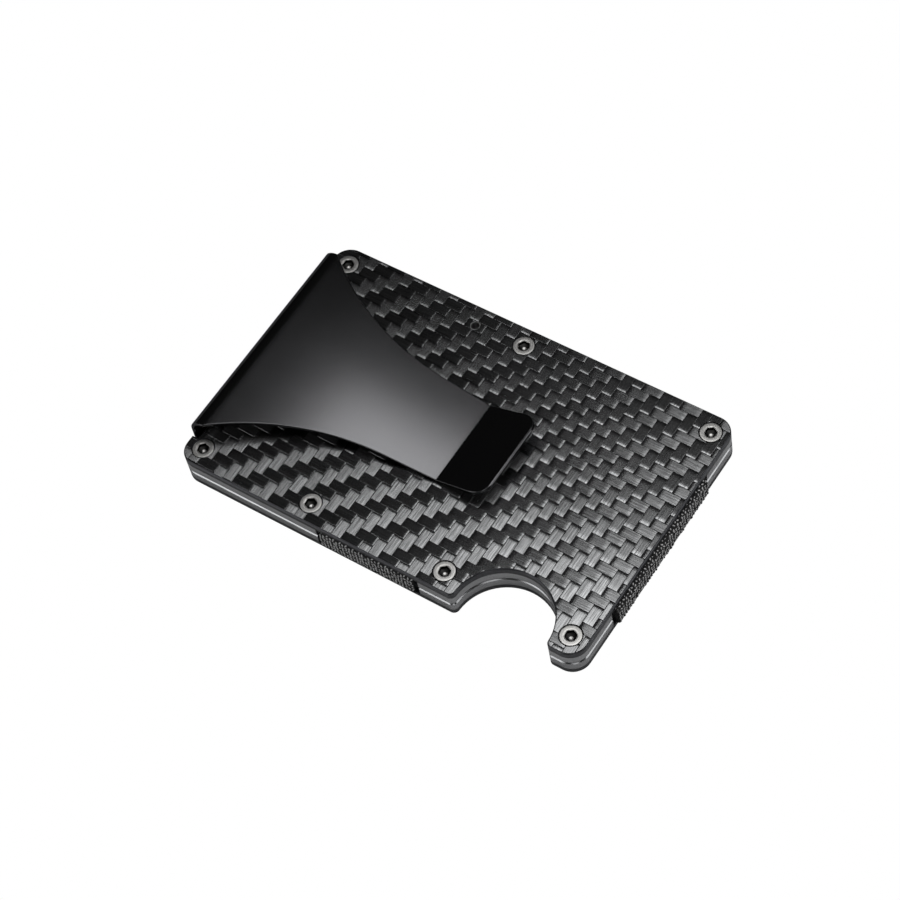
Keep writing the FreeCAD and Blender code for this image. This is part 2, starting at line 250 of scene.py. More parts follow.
def mark_sharp(obj: bpy.types.Object, degrees: float) -> None:
    """Shades edges that turn by more than an angle as sharp ones.

    Args:
        obj: The mesh object.
        degrees: The angle.
    """
    bm = bmesh.new()
    bm.from_mesh(obj.data)
    limit = math.radians(degrees)
    for edge in bm.edges:
        edge.smooth = edge.calc_face_angle(0.0) < limit
    bm.to_mesh(obj.data)
    bm.free()


def node_centre(name: str) -> Vector:
    """The middle of a CAD node's box, in metres.

    Args:
        name: The node's name.

    Returns:
        The middle.
    """
    low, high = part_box(name)
    return (low + high) / 2


# ---------------------------------------------------------------- finishes


class Finish:
    """The start and the end that the node trees of all finishes have in common."""

    @staticmethod
    def start(name: str) -> tuple[bpy.types.Material, bpy.types.NodeTree, bpy.types.NodeSocket]:
        """Makes an empty material.

        Args:
            name: What the material is, and how its surface was made.

        Returns:
            The material, its node tree, and the place of a point on the piece.
        """
        material = bpy.data.materials.new(name)
        material.use_nodes = True
        tree = material.node_tree
        tree.nodes.clear()
        return material, tree, put(tree, "ShaderNodeTexCoord").outputs["Object"]

    @staticmethod
    def end(tree: bpy.types.NodeTree, code: str, tone: object, **surface: object) -> bpy.types.Node:
        """Shades a colour by a tone, and puts the surface shader and the output after it.

        Args:
            tree: The material's node tree.
            code: The sRGB hex colour.
            tone: What the colour is multiplied by.
            **surface: The surface shader's other inputs, by name.

        Returns:
            The surface shader.
        """
        multiply = {"data_type": "RGBA", "blend_type": "MULTIPLY"}
        colour = put(tree, "ShaderNodeMix", 1.0, settings=multiply, n6=srgb(code), n7=tone).outputs[2]
        shader = put(tree, "ShaderNodeBsdfPrincipled", Base_Color=colour, **surface)
        put(tree, "ShaderNodeOutputMaterial", Surface=shader)
        return shader


@dataclass(frozen=True)
class CarbonTow(Finish):
    """A tow of carbon filaments under clear epoxy.

    Graphite filaments are dark and mirror-like along their length, and scatter light across it. So a
    tow is bright from one side and near black from the other, which is what shows a twill.
    """

    run: FibreRun
    colour: str = "a9aaab"
    roughness: float = 0.26
    roughness_spread: float = 0.02
    anisotropy: float = 0.9
    streak_pitch_mm: float = 0.3  # bundles of filaments: single ones, at 0.007 mm, are too fine to show
    streak_length_mm: float = 6.0
    streak_tones: tuple[float, float] = (0.6, 1.3)
    groove_resin_and_shade_tone: float = 0.04  # the grooves between tows are dark from black resin and from painted shade
    crimp_lean: float = 0.043  # the crossing tows' filaments rise a little along their run

    def build(self) -> bpy.types.Material:
        """Makes the material.

        Returns:
            The material.
        """
        material, tree, place = self.start(f"carbon_tow_{self.run.name.lower()}")
        across = Vector(self.run.across)
        fine, coarse = 1 / (self.streak_pitch_mm * MM), 1 / (self.streak_length_mm * MM)
        scale = tuple(coarse + (fine - coarse) * part for part in across)
        stretched = put(tree, "ShaderNodeMapping", Vector=place, Scale=scale)
        streaks = put(tree, "ShaderNodeTexNoise", Vector=stretched, Scale=1.0, Detail=3.0, Roughness=0.62)
        tone = put(tree, "ShaderNodeAttribute", settings={"attribute_name": "tow_tone"}).outputs["Fac"]
        gap = put(tree, "ShaderNodeAttribute", settings={"attribute_name": "tow_gap"}).outputs["Fac"]
        streak_tone = put(tree, "ShaderNodeMapRange", streaks, 0.34, 0.66, *self.streak_tones)
        # painted shade in the grooves between tows, over the black of the resin that fills them
        groove_resin_and_shade = put(tree, "ShaderNodeMapRange", gap, 0.02, 0.5, 1.0, self.groove_resin_and_shade_tone)
        shade = put(tree, ":MULTIPLY", put(tree, ":MULTIPLY", streak_tone, tone), groove_resin_and_shade)
        dull, bright = self.roughness + self.roughness_spread, self.roughness - self.roughness_spread
        rough = put(tree, "ShaderNodeMapRange", streaks, 0.2, 0.8, dull, bright)
        bump = put(tree, "ShaderNodeBump", Strength=0.12, Distance=0.01 * MM, Height=streaks)
        direction = put(tree, "ShaderNodeCombineXYZ", across.x, across.y, 0.0)
        slope = put(tree, "ShaderNodeCombineXYZ", -self.crimp_lean * across.y, 0.0, 0.0)
        leant = put(tree, "ShaderNodeVectorMath:NORMALIZE", put(tree, "ShaderNodeVectorMath:ADD", bump, slope))
        surface = {"Metallic": 1.0, "Roughness": rough, "Anisotropic": self.anisotropy, "Tangent": direction}
        self.end(tree, self.colour, shade, Normal=leant, **surface)
        return material


@dataclass(frozen=True)
class CutLaminate(Finish):
    """The milled edge of a carbon laminate.

    The cutter leaves cut filament ends, which are dull and nearly black, and the plies show as faint
    level lines.
    """

    colour: str = "5a5b5e"
    ply_mm: float = 0.25
    ply_share: float = 0.18
    metallic: float = 0.75

    def build(self) -> bpy.types.Material:
        """Makes the material.

        Returns:
            The material.
        """
        material, tree, place = self.start("cut_carbon_laminate")
        height = put(tree, "ShaderNodeSeparateXYZ", place).outputs["Z"]
        waves = put(tree, ":MULTIPLY", height, 2 * math.pi / (self.ply_mm * MM))
        plies = put(tree, ":SINE", waves)
        grain = put(tree, "ShaderNodeTexNoise", Vector=place, Scale=5200.0, Detail=3.0)
        mixed = put(tree, ":MULTIPLY_ADD", plies, self.ply_share, grain)
        tone = put(tree, "ShaderNodeMapRange", mixed, 0.2, 0.9, 0.6, 1.3)
        rough = put(tree, "ShaderNodeMapRange", grain, 0.2, 0.8, 0.34, 0.5)
        bump = put(tree, "ShaderNodeBump", Strength=0.4, Distance=0.02 * MM, Height=mixed)
        self.end(tree, self.colour, tone, Metallic=self.metallic, Roughness=rough, Normal=bump)
        return material


@dataclass(frozen=True)
class AnodisedAluminium(Finish):
    """Milled sheet under a satin anodised skin.

    The skin follows the cutter's lengthwise marks, so the edge shines in soft level lines, and along
    the seams with the laminate it is painted dark as shade.
    """

    colour: str = "b4b5b7"
    mark_pitch_mm: float = 0.18
    mark_stretch: float = 20.0
    seam_shade_mm: float = 0.3
    seam_shade_tone: float = 0.12

    def build(self) -> bpy.types.Material:
        """Makes the material.

        Returns:
            The material.
        """
        material, tree, place = self.start("black_anodised_aluminium_milled")
        fine = 1 / (self.mark_pitch_mm * MM)
        coarse = fine / self.mark_stretch
        stretched = put(tree, "ShaderNodeMapping", Vector=place, Scale=(coarse, coarse, fine))
        marks = put(tree, "ShaderNodeTexNoise", Vector=stretched, Scale=1.0, Detail=3.0)
        tone = put(tree, "ShaderNodeMapRange", marks, 0.25, 0.75, 0.88, 1.1)
        height = put(tree, "ShaderNodeSeparateXYZ", place).outputs["Z"]
        # painted shade: the edge is darkened in a band along each seam with the laminate
        for seam in (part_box("lower_inner_plate")[0].z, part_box("upper_inner_plate")[1].z):
            away = put(tree, ":ABSOLUTE", put(tree, ":SUBTRACT", height, seam))
            painted_seam_shade = put(
                tree, "ShaderNodeMapRange", away, 0.1 * MM, self.seam_shade_mm * MM, self.seam_shade_tone, 1.0
            )
            tone = put(tree, ":MULTIPLY", tone, painted_seam_shade)
        rough = put(tree, "ShaderNodeMapRange", marks, 0.2, 0.8, 0.3, 0.22)
        bump = put(tree, "ShaderNodeBump", Strength=0.2, Distance=0.01 * MM, Height=marks)
        self.end(tree, self.colour, tone, Metallic=1.0, Roughness=rough, Normal=bump)
        return material


@dataclass(frozen=True)
class TurnedSteel(Finish):
    """Turned steel, bright and untreated.

    The lathe leaves fine rings about the piece's own axis, which break the shine into arcs. A
    screw's socket is painted dark as shade, all but the point that the drill left at its bottom.
    """

    colour: str = "ecebe8"
    ring_pitch_mm: float = 0.42
    ring_share: float = 0.22
    roughness: float = 0.4
    roughness_spread: float = 0.04
    socket_shade_tone: float = 0.04

    def build(self, is_screw: bool = True) -> bpy.types.Material:
        """Makes the material.

        Args:
            is_screw: Whether the piece stores each point's place on its own screw, with the head's top at 0.

        Returns:
            The material.
        """
        material, tree, place = self.start("turned_steel" if is_screw else "drawn_steel_tube")
        if is_screw:
            place = put(tree, "ShaderNodeAttribute", settings={"attribute_name": "own_place"}).outputs["Vector"]
        parts = put(tree, "ShaderNodeSeparateXYZ", place).outputs
        flat = put(tree, "ShaderNodeCombineXYZ", parts[0], parts[1], 0.0)
        radius = put(tree, "ShaderNodeVectorMath:LENGTH", flat).outputs["Value"]
        turns = put(tree, ":MULTIPLY", radius, 2 * math.pi / (self.ring_pitch_mm * MM))
        rings = put(tree, ":SINE", turns)
        grain = put(tree, "ShaderNodeTexNoise", Vector=place, Scale=3500.0, Detail=3.0)
        mixed = put(tree, ":MULTIPLY_ADD", rings, self.ring_share, grain)
        tone = put(tree, "ShaderNodeMapRange", mixed, 0.2, 0.8, 0.74, 1.0)
        if is_screw:
            # painted shade: the socket's walls below its mouth are darkened, all but the drill point at its bottom
            mouth = put(tree, "ShaderNodeMapRange", parts[2], -0.16 * MM, -0.08 * MM, 0.0, 1.0)
            spot = put(tree, "ShaderNodeMapRange", radius, 0.34 * MM, 0.46 * MM, 1.0, 0.0)
            lit = put(tree, ":MAXIMUM", mouth, spot)
            painted_socket_shade = put(tree, ":MAXIMUM", lit, self.socket_shade_tone)
            tone = put(tree, ":MULTIPLY", tone, painted_socket_shade)
        smooth, dull = self.roughness - self.roughness_spread, self.roughness + self.roughness_spread
        rough = put(tree, "ShaderNodeMapRange", grain, 0.2, 0.8, smooth, dull)
        bump = put(tree, "ShaderNodeBump", Strength=0.25, Distance=0.01 * MM, Height=mixed)
        self.end(tree, self.colour, tone, Metallic=1.0, Roughness=rough, Normal=bump)
        return material


@dataclass(frozen=True)
class CoatedSpringSteel(Finish):
    """Spring steel with a black vapour coating.

    The thin hard film keeps the rolled sheet's smoothness, so it mirrors a light as one broad soft
    gradient with hardly any grain.
    """

    colour: str = "737375"
    edge_tint: str = "8c8c8c"
    grain_mm: float = 0.25
    cloud_scale: float = 60.0

    def build(self) -> bpy.types.Material:
        """Makes the material.

        Returns:
            The material.
        """
        material, tree, place = self.start("black_coated_spring_steel_satin")
        grain = put(tree, "ShaderNodeTexNoise", Vector=place, Scale=1 / (self.grain_mm * MM), Detail=4.0)
        cloud = put(tree, "ShaderNodeTexNoise", Vector=place, Scale=self.cloud_scale, Detail=2.0)
        tone = put(tree, "ShaderNodeMapRange", grain, 0.2, 0.8, 0.94, 1.05)
        rough = put(tree, "ShaderNodeMapRange", cloud, 0.3, 0.7, 0.13, 0.15)
        bump = put(tree, "ShaderNodeBump", Strength=0.06, Distance=0.01 * MM, Height=grain)
        surface = {"Metallic": 1.0, "Roughness": rough, "Specular_Tint": srgb(self.edge_tint)}
        self.end(tree, self.colour, tone, Normal=bump, **surface)
        return material


@dataclass(frozen=True)
class KnittedElastic(Finish):
    """Covered rubber knitted into a ribbed band.

    The crowns of the yarn are painted pale as a highlight and the stitches' sides painted black as
    shade, over a knit that is black, so the band reads as fine grains in two slants.
    """

    knit_black_and_shade: str = "08080a"
    # near white, as it carries the painted highlight on the crowns
    colour: str = "f0f0f1"
    fleck: str = "fdfdfd"
    fibre_mm: float = 0.12
    roughness: float = 0.55
    crown_highlight_range: tuple[float, float] = (0.3, 0.75)

    def build(self) -> bpy.types.Material:
        """Makes the material.

        Returns:
            The material.
        """
        material, tree, place = self.start("knitted_elastic")
        crown = put(tree, "ShaderNodeAttribute", settings={"attribute_name": "crown"}).outputs["Fac"]
        fine = 1 / (self.fibre_mm * MM)
        fibres = put(tree, "ShaderNodeTexNoise", Vector=place, Scale=fine, Detail=3.0)
        flecks = put(tree, "ShaderNodeTexNoise", Vector=place, Scale=0.4 * fine, Detail=2.0)
        share = put(tree, "ShaderNodeMapRange", flecks, 0.45, 0.62, 0.0, 0.85)
        blend = {"data_type": "RGBA"}
        yarn = put(tree, "ShaderNodeMix", share, settings=blend, n6=srgb(self.colour), n7=srgb(self.fleck)).outputs[2]
        # painted highlight on the stitch's top, fading to painted shade in the knit's black on its sides
        painted_crown_highlight = put(tree, "ShaderNodeMapRange", crown, *self.crown_highlight_range, 0.0, 1.0)
        colour = put(tree, "ShaderNodeMix", painted_crown_highlight, settings=blend, n6=srgb(self.knit_black_and_shade), n7=yarn).outputs[2]
        bump = put(tree, "ShaderNodeBump", Strength=0.6, Distance=0.04 * MM, Height=fibres)
        surface = {"Roughness": self.roughness, "Sheen_Weight": 0.1, "Sheen_Roughness": 0.4}
        self.end(tree, "ffffff", colour, Normal=bump, **surface)
        return material


@dataclass(frozen=True)
class PaleSweep(Finish):
    """The studio's floor: white paper with a faint grain, lit so far that it shows as clean white."""

    colour: str = "f6f6f6"
    grain_scale: float = 900.0
    roughness: float = 0.8
    shown: float = 1.0

    def build(self) -> bpy.types.Material:
        """Makes the material.

        Returns:
            The material.
        """
        material, tree, place = self.start("pale_floor")
        grain = put(tree, "ShaderNodeTexNoise", Vector=place, Scale=self.grain_scale, Detail=2.0)
        tone = put(tree, "ShaderNodeMapRange", grain, n3=0.985, n4=1.0)
        paper = self.end(tree, self.colour, tone, Roughness=self.roughness)
        clean = put(tree, "ShaderNodeEmission", Color=(1.0, 1.0, 1.0, 1.0), Strength=self.shown)
        seen = put(tree, "ShaderNodeLightPath").outputs["Is Camera Ray"]
        shown = put(tree, "ShaderNodeMixShader", seen, paper, clean)
        tree.links.new(shown.outputs[0], tree.nodes["Material Output"].inputs["Surface"])
        return material


@dataclass(frozen=True)
class Finishes:
    """Every finish of the object, each made once."""

    tow_x: bpy.types.Material
    tow_y: bpy.types.Material
    cut_laminate: bpy.types.Material
    anodised: bpy.types.Material
    turned_steel: bpy.types.Material
    tube_steel: bpy.types.Material
    coated_steel: bpy.types.Material
    elastic: bpy.types.Material

    @classmethod
    def make(cls) -> "Finishes":
        """Makes them all."""
        return cls(
            tow_x=CarbonTow(FibreRun.ALONG_X).build(),
            tow_y=CarbonTow(FibreRun.ALONG_Y).build(),
            cut_laminate=CutLaminate().build(),
            anodised=AnodisedAluminium().build(),
            turned_steel=TurnedSteel().build(),
            tube_steel=TurnedSteel(colour="a8a8a8", roughness=0.5).build(is_screw=False),
            coated_steel=CoatedSpringSteel().build(),
            elastic=KnittedElastic().build(),
        )


# ---------------------------------------------------------------- panels


@dataclass(frozen=True)
class FaceOutline:
    """The plan of a panel's face as a distance, in millimetres: negative inside, positive outside."""

    half_length: float
    half_width: float
    screws: tuple[tuple[float, float], ...]
    corner: float = 3.5
    notch: tuple[float, float] = (27.0, -26.5)
    notch_radius: float = 9.55
    notch_lip: float = 1.1
    rim_chamfer: float = 0.22
    seat_radius: float = 2.19
    pin: tuple[float, float] | None = None
    pin_radius: float = 1.0
    fold_half_width: float | None = None
    fold_depth: float = 1.3
    margin: float = 0.03

    def distance(self, x: np.ndarray, y: np.ndarray) -> np.ndarray:
        """Distance to the face's edge.

        Args:
            x: Places along the length.
            y: Places across the width.

        Returns:
            The distance at each place.
        """
        inset = self.rim_chamfer + self.margin
        qx = np.abs(x) - (self.half_length - self.corner)
        qy = np.abs(y) - (self.half_width - self.corner)
        sheet = np.hypot(np.maximum(qx, 0), np.maximum(qy, 0)) + np.minimum(np.maximum(qx, qy), 0) - self.corner
        bite = self.notch_radius - np.hypot(x - self.notch[0], y - self.notch[1])
        lip = self.notch_lip
        rounded = np.hypot(np.maximum(sheet + lip, 0), np.maximum(bite + lip, 0))
        total = np.minimum(-lip, np.maximum(sheet, bite)) + rounded + inset
        if self.fold_half_width is not None:
            ax = self.half_length - self.fold_depth + x
            ay = self.fold_half_width - np.abs(y)
            total = np.maximum(total, np.minimum(-ax, ay) + inset)
        for sx, sy in self.screws:
            total = np.maximum(total, self.seat_radius + self.margin - np.hypot(x - sx, y - sy))
        if self.pin is not None:
            total = np.maximum(total, self.pin_radius + self.margin - np.hypot(x - self.pin[0], y - self.pin[1]))
        return total

    def pull_in(self, x: np.ndarray, y: np.ndarray, outside: np.ndarray) -> tuple[np.ndarray, np.ndarray]:
        """Moves the places that lie outside onto the face's edge.

        Args:
            x: Places along the length.
            y: Places across the width.
            outside: Which of them to move.

        Returns:
            The moved places.
        """
        x, y = x.copy(), y.copy()
        step = 1e-3
        for _ in range(6):
            px, py = x[outside], y[outside]
            d = self.distance(px, py)
            gx = (self.distance(px + step, py) - self.distance(px - step, py)) / (2 * step)
            gy = (self.distance(px, py + step) - self.distance(px, py - step)) / (2 * step)
            size = np.maximum(gx * gx + gy * gy, 0.25)
            x[outside] = px - d * gx / size
            y[outside] = py - d * gy / size
        return x, y


@dataclass(frozen=True)
class TwillLattice:
    """Where the tows of a 2x2 twill cross: two steps, in millimetres, and where the count starts."""

    column: tuple[float, float] = (2.0122, -0.0371)
    row: tuple[float, float] = (0.0066, 1.9697)
    origin: tuple[float, float] = (-0.33, -3.79)

    def to_plan(self, a: np.ndarray, b: np.ndarray) -> tuple[np.ndarray, np.ndarray]:
        """Turns tow counts into places on the plate.

        Args:
            a: Counts of tows along the length.
            b: Counts of tows across the width.

        Returns:
            The places along and across, in millimetres.
        """
        x = self.origin[0] + a * self.column[0] + b * self.row[0]
        y = self.origin[1] + a * self.column[1] + b * self.row[1]
        return x, y

    def to_tows(self, x: np.ndarray, y: np.ndarray) -> tuple[np.ndarray, np.ndarray]:
        """Turns places on the plate into tow counts.

        Args:
            x: Places along the length, in millimetres.
            y: Places across the width.

        Returns:
            The counts of tows along and across.
        """
        dx, dy = x - self.origin[0], y - self.origin[1]
        area = self.column[0] * self.row[1] - self.column[1] * self.row[0]
        return (dx * self.row[1] - dy * self.row[0]) / area, (dy * self.column[0] - dx * self.column[1]) / area


@dataclass
class TwillSkin:
    """The outer ply of a laminate plate: a 2x2 twill whose tows stand in real relief."""

    name: str
    plate_node: str
    body: str
    facing: Facing
    outline: FaceOutline
    lattice: TwillLattice = field(default_factory=TwillLattice)
    base_mm: float = 0.03
    drop_mm: float = 0.042
    crown_mm: float = 0.012
    dive_share: float = 0.24  # the part of each half stretch over which a tow bends down
    dive_power: float = 1.8  # how late in the bend a tow turns down
    tow_tones: tuple[float, float] = (0.9, 1.08)  # tows from different spools differ a little
    skin_mm: float = 0.02  # half the thickness of the closed skin under the tows
    groove: float = 0.04  # half the width of the gap between tows, as a share of a tow
    sharp_degrees: float = 14.0
    weld_mm: float = 0.004
    on_edge_mm: float = -0.01  # nearer the edge than this, a vertex is drawn onto it
    lines: tuple[float, ...] = (0.0, 0.04, 0.12, 0.24, 0.5, 0.76, 0.88, 0.96)
    seed: int = 7

    def _lines_over(self, half: float, step: float, origin: float) -> np.ndarray:
        """Tow counts of the grid lines from edge to edge, closest together where tows meet.

        Args:
            half: Half the plate's size in this direction, in millimetres.
            step: The size of one tow.
            origin: Where the count starts.

        Returns:
            The counts, in order.
        """
        first = math.floor((-half - origin) / step) - 1
        last = math.ceil((half - origin) / step) + 1
        return np.array([k + o for k in range(first, last + 1) for o in self.lines])

    def _sheet(self) -> bpy.types.Object:
        """The flat skin, cut to the face's outline.

        Returns:
            The sheet, which stores the tow count at each vertex and at each face's middle.
        """
        plan, lattice = self.outline, self.lattice
        columns = self._lines_over(plan.half_length, lattice.column[0], lattice.origin[0])
        rows = self._lines_over(plan.half_width, lattice.row[1], lattice.origin[1])
        ga, gb = (g.ravel() for g in np.meshgrid(columns, rows, indexing="ij"))
        gx, gy = lattice.to_plan(ga, gb)
        far = plan.distance(gx, gy)
        inside = (far < self.on_edge_mm).reshape(len(columns), len(rows))
        kept = inside[:-1, :-1] | inside[1:, :-1] | inside[:-1, 1:] | inside[1:, 1:]
        px, py = plan.pull_in(gx, gy, far > self.on_edge_mm)
        number = np.arange(len(gx)).reshape(len(columns), len(rows))
        quads = np.stack([number[:-1, :-1], number[1:, :-1], number[1:, 1:], number[:-1, 1:]], axis=-1)[kept]
        used, quads = np.unique(quads, return_inverse=True)
        quads = quads.reshape(-1, 4)
        x, y = px[used], py[used]
        low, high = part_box(self.plate_node)
        face_z = high.z if self.facing is Facing.UP else low.z
        z = np.full(len(x), face_z / MM + self.facing.value * self.skin_mm)
        sheet = mesh_piece(self.name + "_flat", np.stack([x, y, z], axis=1) * MM, quads, [])
        pa, pb = lattice.to_tows(x, y)
        place = sheet.data.attributes.new("tow_place", "FLOAT_VECTOR", "POINT")
        place.data.foreach_set("vector", np.stack([pa, pb, pa * 0], axis=1).astype(np.float32).ravel())
        ca, cb = ga[used][quads].mean(1), gb[used][quads].mean(1)
        cell = sheet.data.attributes.new("tow_cell", "FLOAT_VECTOR", "FACE")
        cell.data.foreach_set("vector", np.stack([ca, cb, ca * 0], axis=1).astype(np.float32).ravel())
        return sheet

    @staticmethod
    def _stretch(tree: bpy.types.NodeTree, stored: str) -> dict[str, bpy.types.Node]:
        """Finds which stretch of tow is on top at a stored tow count.

        Args:
            tree: The node tree.
            stored: Name of the attribute that holds the count.

        Returns:
            Whether a tow along Y is on top, the place along and across its stretch from 0 to 1, and a
            number of the stretch's own.
        """
        place = put(tree, "GeometryNodeInputNamedAttribute", settings={"data_type": "FLOAT_VECTOR"}, Name=stored)
        parts = put(tree, "ShaderNodeSeparateXYZ", Vector=place).outputs
        i, j = put(tree, ":FLOOR", parts[0]), put(tree, ":FLOOR", parts[1])
        fx, fy = put(tree, ":SUBTRACT", parts[0], i), put(tree, ":SUBTRACT", parts[1], j)
        step = put(tree, ":FLOORED_MODULO", put(tree, ":SUBTRACT", j, i), 4.0)
        on_y = put(tree, ":LESS_THAN", step, 1.5)
        on_x = put(tree, ":SUBTRACT", 1.0, on_y)
        back = put(tree, ":SUBTRACT", 3.0, step)
        along_y = put(tree, ":MULTIPLY", put(tree, ":ADD", step, fy), on_y)
        along_x = put(tree, ":MULTIPLY", put(tree, ":ADD", back, fx), on_x)
        along = put(tree, ":MULTIPLY", put(tree, ":ADD", along_y, along_x), 0.5)
        across = put(tree, ":ADD", put(tree, ":MULTIPLY", fx, on_y), put(tree, ":MULTIPLY", fy, on_x))
        first_j = put(tree, ":SUBTRACT", j, put(tree, ":MULTIPLY", step, on_y))
        first_i = put(tree, ":SUBTRACT", i, put(tree, ":MULTIPLY", back, on_x))
        # 977 and 131 keep the numbers of any two stretches apart
        number = put(tree, ":MULTIPLY_ADD", first_i, 977.0, put(tree, ":MULTIPLY_ADD", first_j, 131.0, on_y))
        return {"on_y": on_y, "along": along, "across": across, "number": number}

    def _tree(self) -> bpy.types.NodeTree:
        """The tree that lifts the tows out of the flat sheet.

        Returns:
            A tree that also gives each tow its finish and its tone.
        """
        takes = {
            "Sheet": "Geometry", "Base": "Float", "Drop": "Float", "Crown": "Float", "Dive Share": "Float",
            "Dive Power": "Float", "Groove": "Float", "Finish X": "Material", "Finish Y": "Material",
            "Darkest": "Float", "Palest": "Float", "Seed": "Int",
        }
        tree, given = node_group(f"weave_{self.name}", takes, "Skin")
        at = self._stretch(tree, "tow_place")
        side = put(tree, ":MINIMUM", at["across"], put(tree, ":SUBTRACT", 1.0, at["across"]))
        end = put(tree, ":MINIMUM", at["along"], put(tree, ":SUBTRACT", 1.0, at["along"]))
        nearest = put(tree, ":MINIMUM", side, put(tree, ":MULTIPLY", end, 2.0))
        ramp = put(tree, ":MINIMUM", 1.0, put(tree, ":DIVIDE", nearest, given["Groove"]))
        middle = put(tree, ":MULTIPLY_ADD", at["along"], 2.0, -1.0)
        flat_share = put(tree, ":SUBTRACT", 1.0, given["Dive Share"])
        past = put(tree, ":SUBTRACT", put(tree, ":ABSOLUTE", middle), flat_share)
        bend = put(tree, ":DIVIDE", past, given["Dive Share"])
        dive = put(tree, ":POWER", put(tree, ":MAXIMUM", bend, 0.0), given["Dive Power"])
        risen = put(tree, ":SUBTRACT", 1.0, dive)
        drop = put(tree, ":MULTIPLY", given["Drop"], risen)
        off_line = put(tree, ":MULTIPLY_ADD", at["across"], 2.0, -1.0)
        round_off = put(tree, ":MULTIPLY", off_line, off_line)
        arch = put(tree, ":SUBTRACT", 1.0, round_off)
        crown = put(tree, ":MULTIPLY", given["Crown"], arch)
        lift = put(tree, ":ADD", given["Base"], put(tree, ":ADD", drop, crown))
        offset = put(tree, "ShaderNodeCombineXYZ", 0.0, 0.0, put(tree, ":MULTIPLY", ramp, lift))
        raised = put(tree, "GeometryNodeSetPosition", Geometry=given["Sheet"], Offset=offset)
        gap = put(
            tree,
            "GeometryNodeStoreNamedAttribute",
            settings={"data_type": "FLOAT", "domain": "POINT"},
            Geometry=raised,
            Name="tow_gap",
            Value=put(tree, ":SUBTRACT", 1.0, ramp),
        )
        over = self._stretch(tree, "tow_cell")
        number = put(tree, "FunctionNodeFloatToInt", Float=over["number"])
        tone = put(
            tree,
            "FunctionNodeRandomValue",
            settings={"data_type": "FLOAT"},
            n2=given["Darkest"],
            n3=given["Palest"],
            n7=number,
            n8=given["Seed"],
        ).outputs[1]
        toned = put(
            tree,
            "GeometryNodeStoreNamedAttribute",
            settings={"data_type": "FLOAT", "domain": "FACE"},
            Geometry=gap,
            Name="tow_tone",
            Value=tone,
        )
        solid = put(tree, "GeometryNodeRealizeInstances", Geometry=toned)
        across = put(tree, "GeometryNodeSetMaterial", Geometry=solid, Material=given["Finish X"])
        dressed = put(
            tree, "GeometryNodeSetMaterial", Geometry=across, Selection=over["on_y"], Material=given["Finish Y"]
        )
        put(tree, "NodeGroupOutput", dressed)
        return tree

    def build(self, finishes: Finishes) -> bpy.types.Object:
        """Makes the skin, and lets it ride on its plate's body.

        Args:
            finishes: The object's finishes.

        Returns:
            The skin.
        """
        sign = self.facing.value * MM
        inputs = {
            "Base": self.base_mm * sign,
            "Drop": self.drop_mm * sign,
            "Crown": self.crown_mm * sign,
            "Dive Share": self.dive_share,
            "Dive Power": self.dive_power,
            "Darkest": self.tow_tones[0],
            "Palest": self.tow_tones[1],
            "Groove": self.groove,
            "Finish X": finishes.tow_x,
            "Finish Y": finishes.tow_y,
            "Seed": self.seed,
        }
        obj = bake_tree(self._sheet(), self._tree(), inputs, self.name)
        obj.data.materials.append(finishes.cut_laminate)
        low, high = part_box(self.plate_node)
        face_z = high.z if self.facing is Facing.UP else low.z
        self._close(obj, face_z - self.facing.value * self.skin_mm * MM, len(obj.data.materials) - 1)
        mark_sharp(obj, self.sharp_degrees)
        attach(obj, self.body)
        return obj

    def _close(self, obj: bpy.types.Object, base_z: float, wall: int) -> None:
        """Closes the skin with a short wall all round and a flat underside.

        Args:
            obj: The open skin.
            base_z: Height of the underside.
            wall: Number of the wall's material.
        """
        bm = bmesh.new()
        bm.from_mesh(obj.data)
        bmesh.ops.remove_doubles(bm, verts=bm.verts, dist=self.weld_mm * MM)
        bmesh.ops.dissolve_degenerate(bm, edges=bm.edges, dist=self.weld_mm / 2 * MM)
        rim = [edge for edge in bm.edges if edge.is_boundary]
        walls = bmesh.ops.extrude_edge_only(bm, edges=rim)["geom"]
        for vert in (item for item in walls if isinstance(item, bmesh.types.BMVert)):
            vert.co.z = base_z
        for face in (item for item in walls if isinstance(item, bmesh.types.BMFace)):
            face.material_index = wall
            face.smooth = False
        floor = [edge for edge in bm.edges if edge.is_boundary]
        filled = bmesh.ops.triangle_fill(bm, edges=floor, use_beauty=False)["geom"]
        for face in (item for item in filled if isinstance(item, bmesh.types.BMFace)):
            face.material_index = wall
            face.smooth = False
        bmesh.ops.recalc_face_normals(bm, faces=bm.faces)
        open_edges = sum(1 for edge in bm.edges if not edge.is_manifold)
        LOG.info("%s: %d open edges", obj.name, open_edges)
        bm.to_mesh(obj.data)
        bm.free()


